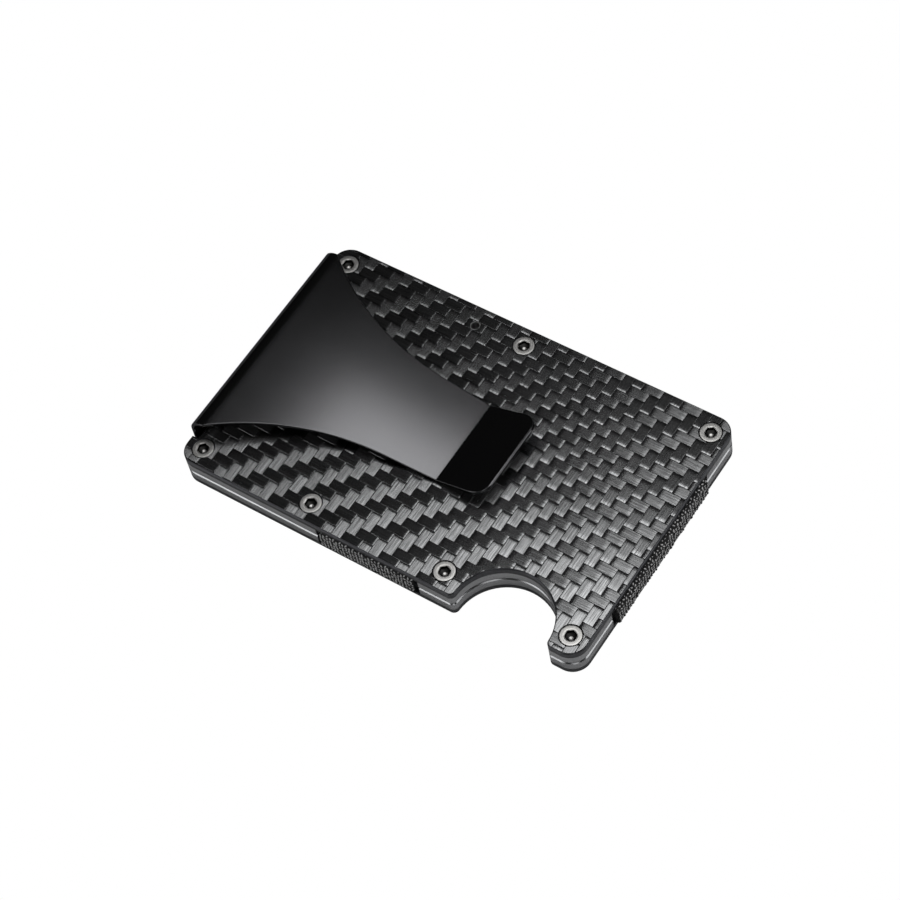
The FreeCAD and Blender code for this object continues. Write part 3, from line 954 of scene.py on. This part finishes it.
@dataclass
class Panels:
    """The four plates, dressed, and the twill skins on the two outer ones."""

    screw_count: int = 7
    fold_clear_half_width: float = 22.1

    def _screw_places(self) -> tuple[tuple[float, float], ...]:
        """Plan places of the screws, in millimetres."""
        centres = [node_centre(f"upper_screw_{k + 1}") for k in range(self.screw_count)]
        return tuple((c.x / MM, c.y / MM) for c in centres)

    def build(self, finishes: Finishes) -> list[bpy.types.Object]:
        """Dresses the plates and makes both skins.

        Args:
            finishes: The object's finishes.

        Returns:
            The two skins.
        """
        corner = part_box("lower_face_plate")[1] / MM
        size = {"half_length": corner.x, "half_width": corner.y, "screws": self._screw_places()}
        pin = node_centre("register_pin")
        front = FaceOutline(**size, pin=(pin.x / MM, pin.y / MM), fold_half_width=self.fold_clear_half_width)
        back = FaceOutline(**size)
        for name in ("upper_face_plate", "lower_face_plate"):
            self._dress(name, finishes.cut_laminate)
        for name in ("upper_inner_plate", "lower_inner_plate"):
            self._dress(name, finishes.anodised)
        self._dress("register_pin", finishes.tube_steel)
        skins = [
            TwillSkin("upper_twill_skin", "upper_face_plate", "upper_panel", Facing.UP, front, seed=7),
            TwillSkin("lower_twill_skin", "lower_face_plate", "lower_panel", Facing.DOWN, back, seed=11),
        ]
        return [skin.build(finishes) for skin in skins]

    @staticmethod
    def _dress(name: str, material: bpy.types.Material) -> None:
        """Gives a CAD node its material.

        Args:
            name: The node's name.
            material: The material.
        """
        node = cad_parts[name]
        node.data.materials.clear()
        node.data.materials.append(material)


# ---------------------------------------------------------------- screws


@dataclass
class SocketScrews:
    """Seven countersunk socket screws of one panel, set by a node tree from one turned model."""

    panel: str
    body: str
    facing: Facing
    count: int = 7
    head_radius: float = 2.1
    rim_round: float = 0.07
    proud: float = 0.14  # lifts the head level with the tops of the tows
    shank_radius: float = 1.24
    length: float = 2.65
    across_flats: float = 2.0
    socket_depth: float = 0.85
    mouth_break: float = 0.09
    dish_depth: float = 0.012
    segments: int = 48
    seed: int = 5

    def _ring(self, radius: float, z: float, hexagonal: float = 0.0) -> np.ndarray:
        """One ring of the turned model.

        Args:
            radius: Its radius, or half its size across flats.
            z: Its height.
            hexagonal: 0 for a circle, 1 for a hexagon.

        Returns:
            The ring's points, one row each.
        """
        turn = np.arange(self.segments) * 2 * math.pi / self.segments
        flat = radius / np.cos(np.mod(turn, math.pi / 3) - math.pi / 6)
        r = radius * (1 - hexagonal) + flat * hexagonal
        return np.stack([r * np.cos(turn), r * np.sin(turn), np.full(self.segments, z)], axis=1)

    def _model(self, material: bpy.types.Material) -> bpy.types.Object:
        """The turned screw, head up, with the centre of its head's top at the origin.

        Args:
            material: Its finish.

        Returns:
            The model, which stores each vertex's own place.
        """
        half = self.across_flats / 2
        r, b, d = self.head_radius, self.mouth_break, self.socket_depth
        rings = [self._ring(0.06, -d - 0.42)]
        rings.append(self._ring(half * 0.86, -d - 0.02))
        rings.append(self._ring(half * 0.97, -d, 0.75))
        rings.append(self._ring(half, -d + 0.03, 1.0))
        rings.append(self._ring(half, -b - 0.03, 1.0))
        rings.append(self._ring(half + b * 0.4, -b * 0.45 - self.dish_depth, 1.0))
        rings.append(self._ring(half + b, -self.dish_depth, 0.9))
        rings.append(self._ring(half + 0.28, -self.dish_depth * 0.7, 0.15))
        rings.append(self._ring(half + 0.36, -0.004))
        rings.append(self._ring(r - self.rim_round * 2.2, 0.0))
        for part in range(1, 6):
            a = part / 5 * math.radians(115)
            out, down = self.rim_round * math.sin(a), self.rim_round * (1 - math.cos(a))
            rings.append(self._ring(r - self.rim_round * 2.2 + out, -down))
        rings.append(self._ring(self.shank_radius, -(r - self.shank_radius)))
        rings.append(self._ring(self.shank_radius, -self.length + 0.2))
        rings.append(self._ring(self.shank_radius - 0.2, -self.length))
        points = np.concatenate(rings)
        n = self.segments
        faces = [
            (a * n + k, a * n + (k + 1) % n, (a + 1) * n + (k + 1) % n, (a + 1) * n + k)
            for a in range(len(rings) - 1)
            for k in range(n)
        ]
        faces.append(tuple(range(n))[::-1])
        faces.append(tuple((len(rings) - 1) * n + k for k in range(n)))
        obj = mesh_piece(f"{self.panel}_screw_model", points * MM, faces, [material])
        face_outwards(obj)
        mark_sharp(obj, 38)
        own = obj.data.attributes.new("own_place", "FLOAT_VECTOR", "POINT")
        own.data.foreach_set("vector", np.array([v.co for v in obj.data.vertices], np.float32).ravel())
        return obj

    def _tree(self) -> bpy.types.NodeTree:
        """The tree that sets the model at each point.

        Returns:
            A tree that turns each screw by an angle of its own.
        """
        takes = {
            "Places": "Geometry", "Screw": "Object", "Finish": "Material", "Tilt": "Float",
            "Largest Turn": "Float", "Seed": "Int",
        }
        tree, given = node_group(f"set_{self.panel}_screws", takes, "Screws")
        model = put(tree, "GeometryNodeObjectInfo", Object=given["Screw"]).outputs["Geometry"]
        turn = put(
            tree,
            "FunctionNodeRandomValue",
            settings={"data_type": "FLOAT"},
            n2=0.0,
            n3=given["Largest Turn"],
            n8=given["Seed"],
        ).outputs[1]
        euler = put(tree, "ShaderNodeCombineXYZ", given["Tilt"], 0.0, turn)
        rotation = put(tree, "FunctionNodeEulerToRotation", Euler=euler)
        placed = put(tree, "GeometryNodeInstanceOnPoints", Points=given["Places"], Instance=model, Rotation=rotation)
        solid = put(tree, "GeometryNodeRealizeInstances", Geometry=placed)
        dressed = put(tree, "GeometryNodeSetMaterial", Geometry=solid, Material=given["Finish"])
        put(tree, "NodeGroupOutput", dressed)
        return tree

    def build(self, finishes: Finishes) -> bpy.types.Object:
        """Makes one mesh of all the panel's screws.

        Args:
            finishes: The object's finishes.

        Returns:
            The screws.
        """
        nodes = [f"{self.panel}_screw_{k + 1}" for k in range(self.count)]
        places = []
        for node in nodes:
            low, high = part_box(node)
            top = high.z if self.facing is Facing.UP else low.z
            places.append(((low.x + high.x) / 2, (low.y + high.y) / 2, top + self.facing.value * self.proud * MM))
        model = self._model(finishes.turned_steel)
        points = mesh_piece(f"{self.panel}_screw_places", np.array(places), [], [])
        inputs = {
            "Screw": model,
            "Finish": finishes.turned_steel,
            "Tilt": 0.0 if self.facing is Facing.UP else math.pi,
            "Largest Turn": math.pi / 3,
            "Seed": self.seed,
        }
        obj = bake_tree(points, self._tree(), inputs, f"{self.panel}_screws")
        bpy.data.objects.remove(model)
        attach(obj, self.body)
        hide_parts(*nodes)
        return obj


# ---------------------------------------------------------------- elastic


@dataclass
class ElasticBand:
    """One knitted elastic band: a core web with tabs, and slanting stitches in ribs over the web."""

    edge: Edge
    rib_mm: float = 1.4
    rows: int = 11
    stitch_length: float = 0.66
    stitch_width: float = 0.4
    stitch_height: float = 0.2
    round_mm: float = 0.45
    slant: float = math.radians(42)
    wobble: float = 0.35  # how far single stitches turn from the slant, in radians
    jitter: float = 0.1
    taper: float = 0.4
    tab_mm: float = 0.55  # the tabs' height, which doesn't stretch
    web_face_mm: float = 0.25
    sink_mm: float = 0.08
    seed: int = 3

    @property
    def node(self) -> str:
        """The band's CAD node."""
        return f"elastic_band_{self.edge.name.lower()}"

    def _stitch(self, material: bpy.types.Material) -> bpy.types.Object:
        """One visible stitch: a short tapered loop of yarn, lying along X and crowned towards Z.

        Args:
            material: Its finish.

        Returns:
            The model, which stores how near each vertex is to the crown.
        """
        bm = bmesh.new()
        bmesh.ops.create_uvsphere(bm, u_segments=8, v_segments=6, radius=0.5)
        crown = bm.verts.layers.float.new("crown")
        for vert in bm.verts:
            x, y, z = vert.co
            # painted light: highest on the stitch's top, 0 on its sides and underside, where the finish paints shade
            vert[crown] = max(2 * z, 0.0) * (1 - 0.6 * (2 * abs(y)) ** 2)
            width = self.stitch_width * (1 - self.taper * (2 * x) ** 2)
            vert.co = Vector((x * self.stitch_length, y * width, z * 2 * self.stitch_height)) * MM
            vert.co.z += 0.1 * self.stitch_height * math.sin(x * math.pi * 2) * MM
        mesh = bpy.data.meshes.new("stitch_model")
        for face in bm.faces:
            face.smooth = True
        bm.to_mesh(mesh)
        bm.free()
        mesh.materials.append(material)
        obj = bpy.data.objects.new("stitch_model", mesh)
        bpy.context.scene.collection.objects.link(obj)
        return obj

    def _tree(self) -> bpy.types.NodeTree:
        """The tree that lays the stitches out in ribs, each rib a pair of columns that lean together.

        Returns:
            A tree that joins the stitches to the core.
        """
        takes = {
            "Core": "Geometry", "Stitch": "Object", "Length": "Float", "Girth": "Float", "Flat Half": "Float",
            "Round": "Float", "Columns": "Int", "Rows": "Int", "Slant": "Float", "Wobble": "Float",
            "Jitter": "Float", "Middle": "Vector", "Lie": "Vector", "Finish": "Material", "Seed": "Int",
        }
        tree, given = node_group(f"knit_{self.edge.name.lower()}_band", takes, "Band")
        grid = put(
            tree,
            "GeometryNodeMeshGrid",
            Size_X=given["Length"],
            Size_Y=given["Girth"],
            Vertices_X=given["Columns"],
            Vertices_Y=given["Rows"],
        ).outputs["Mesh"]
        index = put(tree, "GeometryNodeInputIndex")
        column = put(tree, ":FLOOR", put(tree, ":DIVIDE", index, given["Rows"]))
        side = put(tree, ":MULTIPLY_ADD", put(tree, ":MODULO", column, 2.0), 2.0, -1.0)
        lean = put(tree, ":MULTIPLY", side, given["Slant"])
        pitch = put(tree, ":DIVIDE", given["Girth"], put(tree, ":SUBTRACT", given["Rows"], 1.0))
        stagger = put(tree, ":MULTIPLY", put(tree, ":MULTIPLY", side, pitch), 0.25)  # half a pitch in all
        step = put(tree, "ShaderNodeCombineXYZ", 0.0, stagger, 0.0)
        grid = put(tree, "GeometryNodeSetPosition", Geometry=grid, Offset=step)
        wobble = put(
            tree,
            "FunctionNodeRandomValue",
            settings={"data_type": "FLOAT"},
            n2=put(tree, ":MULTIPLY", given["Wobble"], -1.0),
            n3=given["Wobble"],
            n8=given["Seed"],
        ).outputs[1]
        lean = put(tree, ":ADD", lean, wobble)
        upright = put(tree, ":ADD", lean, math.pi / 2)
        euler = put(tree, "ShaderNodeCombineXYZ", 0.0, 0.0, upright)
        upright_turn = put(tree, "FunctionNodeEulerToRotation", Euler=euler)
        wrapped, tilt = self._wrap(tree, given)
        tip = put(tree, "ShaderNodeCombineXYZ", tilt, 0.0, 0.0)
        tip_turn = put(tree, "FunctionNodeEulerToRotation", Euler=tip)
        rotation = put(
            tree, "FunctionNodeRotateRotation", settings={"rotation_space": "GLOBAL"}, n0=upright_turn, n1=tip_turn
        )
        spread = put(tree, "ShaderNodeCombineXYZ", *[given["Jitter"]] * 3)
        back = put(tree, "ShaderNodeVectorMath:SCALE", spread, Scale=-1.0)
        shift = put(
            tree,
            "FunctionNodeRandomValue",
            settings={"data_type": "FLOAT_VECTOR"},
            n0=back,
            n1=spread,
            n8=given["Seed"],
        )
        bent = put(tree, "GeometryNodeSetPosition", Geometry=grid, Position=wrapped)
        moved = put(tree, "GeometryNodeSetPosition", Geometry=bent, Offset=shift)
        model = put(tree, "GeometryNodeObjectInfo", Object=given["Stitch"]).outputs["Geometry"]
        placed = put(tree, "GeometryNodeInstanceOnPoints", Points=moved, Instance=model, Rotation=rotation)
        lie = put(tree, "FunctionNodeEulerToRotation", Euler=given["Lie"])
        stood = put(tree, "GeometryNodeTransform", Geometry=placed, Translation=given["Middle"], Rotation=lie)
        joined = put(tree, "GeometryNodeJoinGeometry", [given["Core"], stood])
        solid = put(tree, "GeometryNodeRealizeInstances", Geometry=joined)
        done = put(tree, "GeometryNodeSetMaterial", Geometry=solid, Material=given["Finish"])
        put(tree, "NodeGroupOutput", done)
        return tree

    @staticmethod
    def _wrap(tree: bpy.types.NodeTree, given: bpy.types.NodeOutputs) -> tuple[bpy.types.Node, bpy.types.Node]:
        """Bends the flat grid over the web's rounded rims.

        Args:
            tree: The node tree.
            given: The tree's own inputs.

        Returns:
            The bent place of each stitch, and its tilt about the band's length.
        """
        place = put(tree, "ShaderNodeSeparateXYZ", Vector=put(tree, "GeometryNodeInputPosition")).outputs
        side = put(tree, ":SIGN", place[1])
        reach = put(tree, ":ABSOLUTE", place[1])
        over = put(tree, ":MAXIMUM", put(tree, ":SUBTRACT", reach, given["Flat Half"]), 0.0)
        angle = put(tree, ":MINIMUM", put(tree, ":DIVIDE", over, given["Round"]), math.pi / 2)
        past = put(tree, ":SUBTRACT", over, put(tree, ":MULTIPLY", angle, given["Round"]))
        rise = put(tree, ":MULTIPLY", put(tree, ":SINE", angle), given["Round"])
        height = put(tree, ":ADD", put(tree, ":MINIMUM", reach, given["Flat Half"]), rise)
        sunk = put(tree, ":MULTIPLY", put(tree, ":SUBTRACT", put(tree, ":COSINE", angle), 1.0), given["Round"])
        depth = put(tree, ":SUBTRACT", sunk, past)
        bent = put(
            tree, "ShaderNodeCombineXYZ", n0=place[0], n1=put(tree, ":MULTIPLY", height, side), n2=depth
        )
        tilt = put(tree, ":MULTIPLY", put(tree, ":MULTIPLY", angle, side), -1.0)
        return bent, tilt

    def build(self, finishes: Finishes) -> bpy.types.Object:
        """Makes the band where its CAD node stands.

        Args:
            finishes: The object's finishes.

        Returns:
            The band.
        """
        low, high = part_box(self.node)
        out = Vector((*self.edge.value, 0.0))
        along_x = abs(out.y) > 0.5
        span = (high.x - low.x) if along_x else (high.y - low.y)
        crown = high.x if self.edge is Edge.END else (high.y if self.edge is Edge.REAR else low.y)
        middle = (low + high) / 2
        seat = crown - 0.45 * self.stitch_height * MM * (1 if crown > 0 else -1)
        if along_x:
            middle.y = seat
        else:
            middle.x = seat
        core = self._core(out)
        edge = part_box("lower_face_plate")[1]
        proud = abs(crown) - (edge.x if self.edge is Edge.END else edge.y)
        rounding = min(self.round_mm * MM, proud)
        flat_half = (high.z - low.z) / 2 - rounding - 0.1 * MM
        columns = 2 * round(span / (self.rib_mm * MM)) + 1
        turn = {Edge.FRONT: 0.0, Edge.REAR: math.pi, Edge.END: math.pi / 2}[self.edge]
        inputs = {
            "Stitch": self._stitch(finishes.elastic),
            "Length": span - self.stitch_width * MM,
            "Girth": 2 * (flat_half + rounding * math.pi / 2 + max(proud - rounding, 0.0)),
            "Flat Half": flat_half,
            "Round": rounding,
            "Columns": columns,
            "Rows": self.rows,
            "Slant": self.slant,
            "Wobble": self.wobble,
            "Jitter": self.jitter * MM,
            "Middle": middle,
            "Lie": (math.pi / 2, 0.0, turn),
            "Finish": finishes.elastic,
            "Seed": self.seed,
        }
        obj = bake_tree(core, self._tree(), inputs, self.node + "_knit")
        bpy.data.objects.remove(inputs["Stitch"])
        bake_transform(obj)
        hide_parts(self.node)
        return obj

    def _core(self, out: Vector) -> bpy.types.Object:
        """The band's own solid, with its web drawn in under the stitches.

        Args:
            out: The band's outward direction.

        Returns:
            A new object with the welded solid.
        """
        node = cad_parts[self.node]
        obj = bpy.data.objects.new(self.node + "_core", node.data.copy())
        bpy.context.scene.collection.objects.link(obj)
        bm = bmesh.new()
        bm.from_mesh(obj.data)
        bmesh.ops.remove_doubles(bm, verts=bm.verts, dist=0.001 * MM)
        reach = max(v.co.dot(out) for v in bm.verts)
        for vert in bm.verts:
            over = vert.co.dot(out) - (reach - self.web_face_mm * MM)
            if over > 0:
                vert.co -= out * min(over, self.sink_mm * MM)
        bmesh.ops.recalc_face_normals(bm, faces=bm.faces)
        bm.to_mesh(obj.data)
        bm.free()
        return obj


# ---------------------------------------------------------------- clip


@dataclass
class SpringClip:
    """The clip as one bent sheet: foot, fold, waisted arm, crease and rising lip."""

    sheet: float = 0.75
    edge_round: float = 0.15
    end_round: float = 0.32
    edge_support: float = 0.03  # keeps the rounding's highlight off the flat sheet
    base_bend: float = 1.2
    fold_radius: float = 3.4
    fold_centre_z: float = 8.24
    fold_half_width: float = 21.8
    crease_x: float = 2.3
    crease_half_width: float = 9.03
    crease_round: float = 0.12
    waist_x: float = -8.5
    waist_half_width: float = 9.62
    waist_radius: float = 54.0
    lip_end_half_width: float = 9.3
    lip_corner: float = 3.17
    lip_rise: float = math.radians(18.0)
    foot_reach: float = 2.2
    bend_drop: float = 0.4
    bend_run: tuple[float, float, float] = (0.3, 0.0, 0.954)  # along the chord of the fold
    bend_reach: float = 5.2
    crease_gap: float = 0.3
    columns: int = 36

    def _path(self) -> list[tuple[float, float, float]]:
        """The sheet's outer side in side view, from the foot to the lip's end.

        Returns:
            x and z in millimetres, and the direction that the sheet runs in, for each cross-section.
        """
        low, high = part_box("clip_arm")
        left, lip_x = low.x / MM, high.x / MM
        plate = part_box("upper_face_plate")
        seam, top = plate[0].z / MM, plate[1].z / MM
        centre_x = left + self.fold_radius
        crease_z = top + self.crease_gap + self.sheet
        across, down = self.crease_x - centre_x, self.fold_centre_z - crease_z
        slope = math.asin(self.fold_radius / math.hypot(across, down)) + math.atan2(down, across)
        bend_x, bend_z = left + self.base_bend, seam - self.sheet + self.base_bend
        path = [(bend_x + self.foot_reach, bend_z - self.base_bend, math.pi)]
        for k in range(9):
            a = k / 8 * math.pi / 2
            path.append((bend_x - self.base_bend * math.sin(a), bend_z - self.base_bend * math.cos(a), math.pi - a))
        steps = 5
        for k in range(1, steps):
            path.append((left, bend_z + (self.fold_centre_z - bend_z) * k / steps, math.pi / 2))
        turn = math.pi / 2 + slope
        for k in range(25):
            a = k / 24 * turn
            x = centre_x - self.fold_radius * math.cos(a)
            path.append((x, self.fold_centre_z + self.fold_radius * math.sin(a), math.pi / 2 - a))
        arm_start = path[-1]
        arm_end_x = self.crease_x - self.crease_round
        reach = arm_end_x - arm_start[0]
        for k in range(1, 49):
            x = arm_start[0] + reach * k / 48
            path.append((x, crease_z + (self.crease_x - x) * math.tan(slope), -slope))
        for k in range(1, 4):
            share = k / 4
            x = self.crease_x + self.crease_round * (2 * share - 1)
            before = crease_z + (self.crease_x - x) * math.tan(slope)
            after = crease_z + (x - self.crease_x) * math.tan(self.lip_rise)
            turn = math.tan(slope) + math.tan(self.lip_rise)
            lift = 0.25 * self.crease_round * turn * (1 - abs(2 * share - 1)) ** 2
            path.append((x, max(before, after) + lift, -slope + (slope + self.lip_rise) * share))
        lip_steps = 26
        start_x = self.crease_x + self.crease_round
        for k in range(lip_steps + 1):
            share = math.sin(k / lip_steps * math.radians(80)) / math.sin(math.radians(80))
            x = start_x + (lip_x - self.end_round - self.edge_support - start_x) * share
            path.append((x, crease_z + (x - self.crease_x) * math.tan(self.lip_rise), self.lip_rise))
        for angle in (0, 15, 30, 45, 60, 75, 90):
            x = lip_x - self.end_round * (1 - math.sin(math.radians(angle)))
            path.append((x, crease_z + (x - self.crease_x) * math.tan(self.lip_rise), self.lip_rise))
        return path

    def _thinning(self, x: float, rising: bool) -> float:
        """How far the sheet's two sides draw in where its end is rounded.

        Args:
            x: Place along the clip, in millimetres.
            rising: Whether the place is on the arm or the lip.

        Returns:
            The depth on each side, in millimetres.
        """
        into = x - (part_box("clip_arm")[1].x / MM - self.end_round)
        if not rising or into <= 0:
            return 0.0
        return self.end_round - math.sqrt(max(self.end_round**2 - into**2, 0.0))

    def _half_width(self, x: float, rising: bool) -> float:
        """Half the sheet's width at a place along the clip.

        Args:
            x: Place along the clip, in millimetres.
            rising: Whether the place is on the arm or the lip.

        Returns:
            The half width, in millimetres.
        """
        if not rising:
            return self.fold_half_width
        lip_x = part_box("clip_arm")[1].x / MM
        if x <= self.waist_x:
            taper = math.atan2(self.waist_half_width - self.crease_half_width, self.crease_x - self.waist_x)
            cx = self.waist_x + self.waist_radius * math.sin(taper)
            cy = self.waist_half_width + self.waist_radius * math.cos(taper)
            curve = cy - math.sqrt(max(self.waist_radius**2 - (x - cx) ** 2, 0.0))
            return min(curve, self.fold_half_width)
        if x <= self.crease_x:
            share = (x - self.waist_x) / (self.crease_x - self.waist_x)
            return self.waist_half_width + (self.crease_half_width - self.waist_half_width) * share
        corner_x = lip_x - self.lip_corner
        share = min((x - self.crease_x) / (corner_x - self.crease_x), 1.0)
        width = self.crease_half_width + (self.lip_end_half_width - self.crease_half_width) * share
        over = min(max(x - corner_x, 0.0), self.lip_corner)
        return width - self.lip_corner + math.sqrt(max(self.lip_corner**2 - over**2, 0.0))

    def _section(self, half: float, thinning: float) -> list[tuple[float, float]]:
        """One cross-section of the sheet.

        Args:
            half: Half its width.
            thinning: How far its two sides draw in.

        Returns:
            Places across it, and depths below its outer side.
        """
        r = self.edge_round
        flat = half - r
        low, high = self.sheet - thinning, thinning
        reach = flat - self.edge_support
        inner_places = [-reach + 2 * reach * k / self.columns for k in range(self.columns + 1)]
        outer = [(y, high) for y in (-flat, *inner_places, flat)]
        arc = [math.radians(a) for a in (22.5, 45, 67.5, 90)]
        upper = [(flat + r * math.sin(a), max(r - r * math.cos(a), high)) for a in arc]
        lower = [(flat + r * math.cos(a), min(self.sheet - r + r * math.sin(a), low)) for a in [0.0, *arc]]
        inner = [(-y, low) for y, _ in outer[1:]]
        lower_left = [(-y, d) for y, d in reversed(lower)]
        upper_left = [(-y, d) for y, d in reversed(upper)]
        return outer + upper + lower + inner + lower_left[1:] + upper_left

    def build(self, finishes: Finishes) -> bpy.types.Object:
        """Makes the clip as one mesh, and gives the CAD foot the same finish.

        Args:
            finishes: The object's finishes.

        Returns:
            The clip.
        """
        points: list[tuple[float, float, float]] = []
        rings = 0
        count = 0
        for x, z, heading in self._path():
            rising = heading < math.pi / 2 - 1e-6
            section = self._section(self._half_width(x, rising), self._thinning(x, rising))
            nx, nz = -math.sin(heading), math.cos(heading)
            points.extend((x - nx * depth, y, z - nz * depth) for y, depth in section)
            count = len(section)
            rings += 1
        faces = [
            (a * count + k, a * count + (k + 1) % count, (a + 1) * count + (k + 1) % count, (a + 1) * count + k)
            for a in range(rings - 1)
            for k in range(count)
        ]
        faces.append(tuple(range(count)))
        faces.append(tuple((rings - 1) * count + k for k in range(count)))
        obj = mesh_piece("spring_clip", np.array(points) * MM, faces, [finishes.coated_steel])
        face_outwards(obj, weld=0.002 * MM)
        mark_sharp(obj, 36)
        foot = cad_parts["clip_base"]
        foot.data.materials.clear()
        foot.data.materials.append(finishes.coated_steel)
        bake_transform(obj)
        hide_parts("clip_arm", "clip_base")
        return obj


# ---------------------------------------------------------------- studio


@dataclass
class Softbox:
    """A rectangular soft light that faces the object."""

    name: str
    middle_mm: tuple[float, float, float]
    size_mm: tuple[float, float]
    radiance: float
    aim_mm: tuple[float, float, float] = (0.0, 0.0, 0.0)
    level: bool = False

    def build(self) -> bpy.types.Object:
        """Makes the light with the brightness given for its surface.

        Returns:
            The light's object.
        """
        light = bpy.data.lights.new(self.name, "AREA")
        light.shape = "RECTANGLE"
        light.size, light.size_y = (s * MM for s in self.size_mm)
        light.energy = self.radiance * math.pi * light.size * light.size_y
        obj = bpy.data.objects.new(self.name, light)
        obj.location = mm(*self.middle_mm)
        if not self.level:
            obj.rotation_euler = (mm(*self.aim_mm) - obj.location).to_track_quat("-Z", "Y").to_euler()
        bpy.context.scene.collection.objects.link(obj)
        return obj


@dataclass
class Studio:
    """Floor, lights and camera."""

    azimuth: float = 44.46
    elevation: float = 56.32
    roll: float = -13.25
    distance_mm: float = 478.0
    aim_mm: tuple[float, float, float] = (0.55, -2.06, 6.58)
    lens_mm: float = 106.75
    floor_half_mm: float = 3000.0
    floor_drop_mm: float = 0.2
    mirrored: float = 0.015

    def build(self) -> None:
        """Makes the whole studio."""
        self._floor()
        self._lights()
        self._world()
        self._camera()
        bpy.context.scene.view_settings.view_transform = "Standard"

    def _floor(self) -> None:
        """A plain pale floor under the object."""
        half = self.floor_half_mm
        corners = [(-half, -half), (half, -half), (half, half), (-half, half)]
        points = np.array([(x, y, -self.floor_drop_mm) for x, y in corners]) * MM
        floor = mesh_piece("floor", points, [(0, 1, 2, 3)], [PaleSweep().build()])

    def _lights(self) -> None:
        """A wide overhead softbox, and low cards that light the walls from the front and from the right."""
        Softbox("overhead_softbox", (49.0, 61.5, 376.0), (362.0, 203.0), 2.05, level=True).build()
        Softbox("front_card", (-200.0, -400.0, 150.0), (380.0, 130.0), 1.7).build()
        Softbox("right_card", (420.0, 150.0, 150.0), (300.0, 130.0), 1.6).build()
        Softbox("corner_card", (330.0, -330.0, 260.0), (240.0, 160.0), 0.9).build()

    def _world(self) -> None:
        """White where the camera looks past the floor, and dim for everything the object mirrors."""
        world = bpy.data.worlds.new("studio")
        bpy.context.scene.world = world
        world.use_nodes = True
        tree = world.node_tree
        tree.nodes.clear()
        seen = put(tree, "ShaderNodeLightPath").outputs["Is Camera Ray"]
        dim, white = (*[self.mirrored] * 3, 1.0), (1.0, 1.0, 1.0, 1.0)
        colour = put(tree, "ShaderNodeMix", seen, settings={"data_type": "RGBA"}, n6=dim, n7=white).outputs[2]
        back = put(tree, "ShaderNodeBackground", Color=colour, Strength=1.0)
        put(tree, "ShaderNodeOutputWorld", Surface=back)

    def _camera(self) -> None:
        """The camera, at a long lens's distance and leaning a little."""
        camera = bpy.data.objects.new("camera", bpy.data.cameras.new("camera"))
        camera.data.lens = self.lens_mm
        camera.data.sensor_width = 36.0
        camera.data.clip_start, camera.data.clip_end = 0.01, 20.0
        a, e = math.radians(self.azimuth), math.radians(self.elevation)
        back = Vector((math.sin(a) * math.cos(e), -math.cos(a) * math.cos(e), math.sin(e)))
        turn = (-back).to_track_quat("-Z", "Y").to_matrix().to_4x4()
        lean = Matrix.Rotation(math.radians(self.roll), 4, "Z")
        place = Matrix.Translation(mm(*self.aim_mm) + back * self.distance_mm * MM)
        camera.matrix_world = place @ turn @ lean
        bpy.context.scene.collection.objects.link(camera)
        bpy.context.scene.camera = camera


def main() -> None:
    """Builds every sub-assembly in order."""
    logging.basicConfig(level=logging.INFO, format="%(message)s")
    Studio().build()
    finishes = Finishes.make()
    made = Panels().build(finishes)
    for panel, facing in (("upper", Facing.UP), ("lower", Facing.DOWN)):
        made.append(SocketScrews(panel, f"{panel}_panel", facing).build(finishes))
    for edge in Edge:
        made.append(ElasticBand(edge).build(finishes))
    made.append(SpringClip().build(finishes))
    for piece in made:
        LOG.info("%s: %d faces", piece.name, len(piece.data.polygons))


if __name__ == "__main__":
    main()
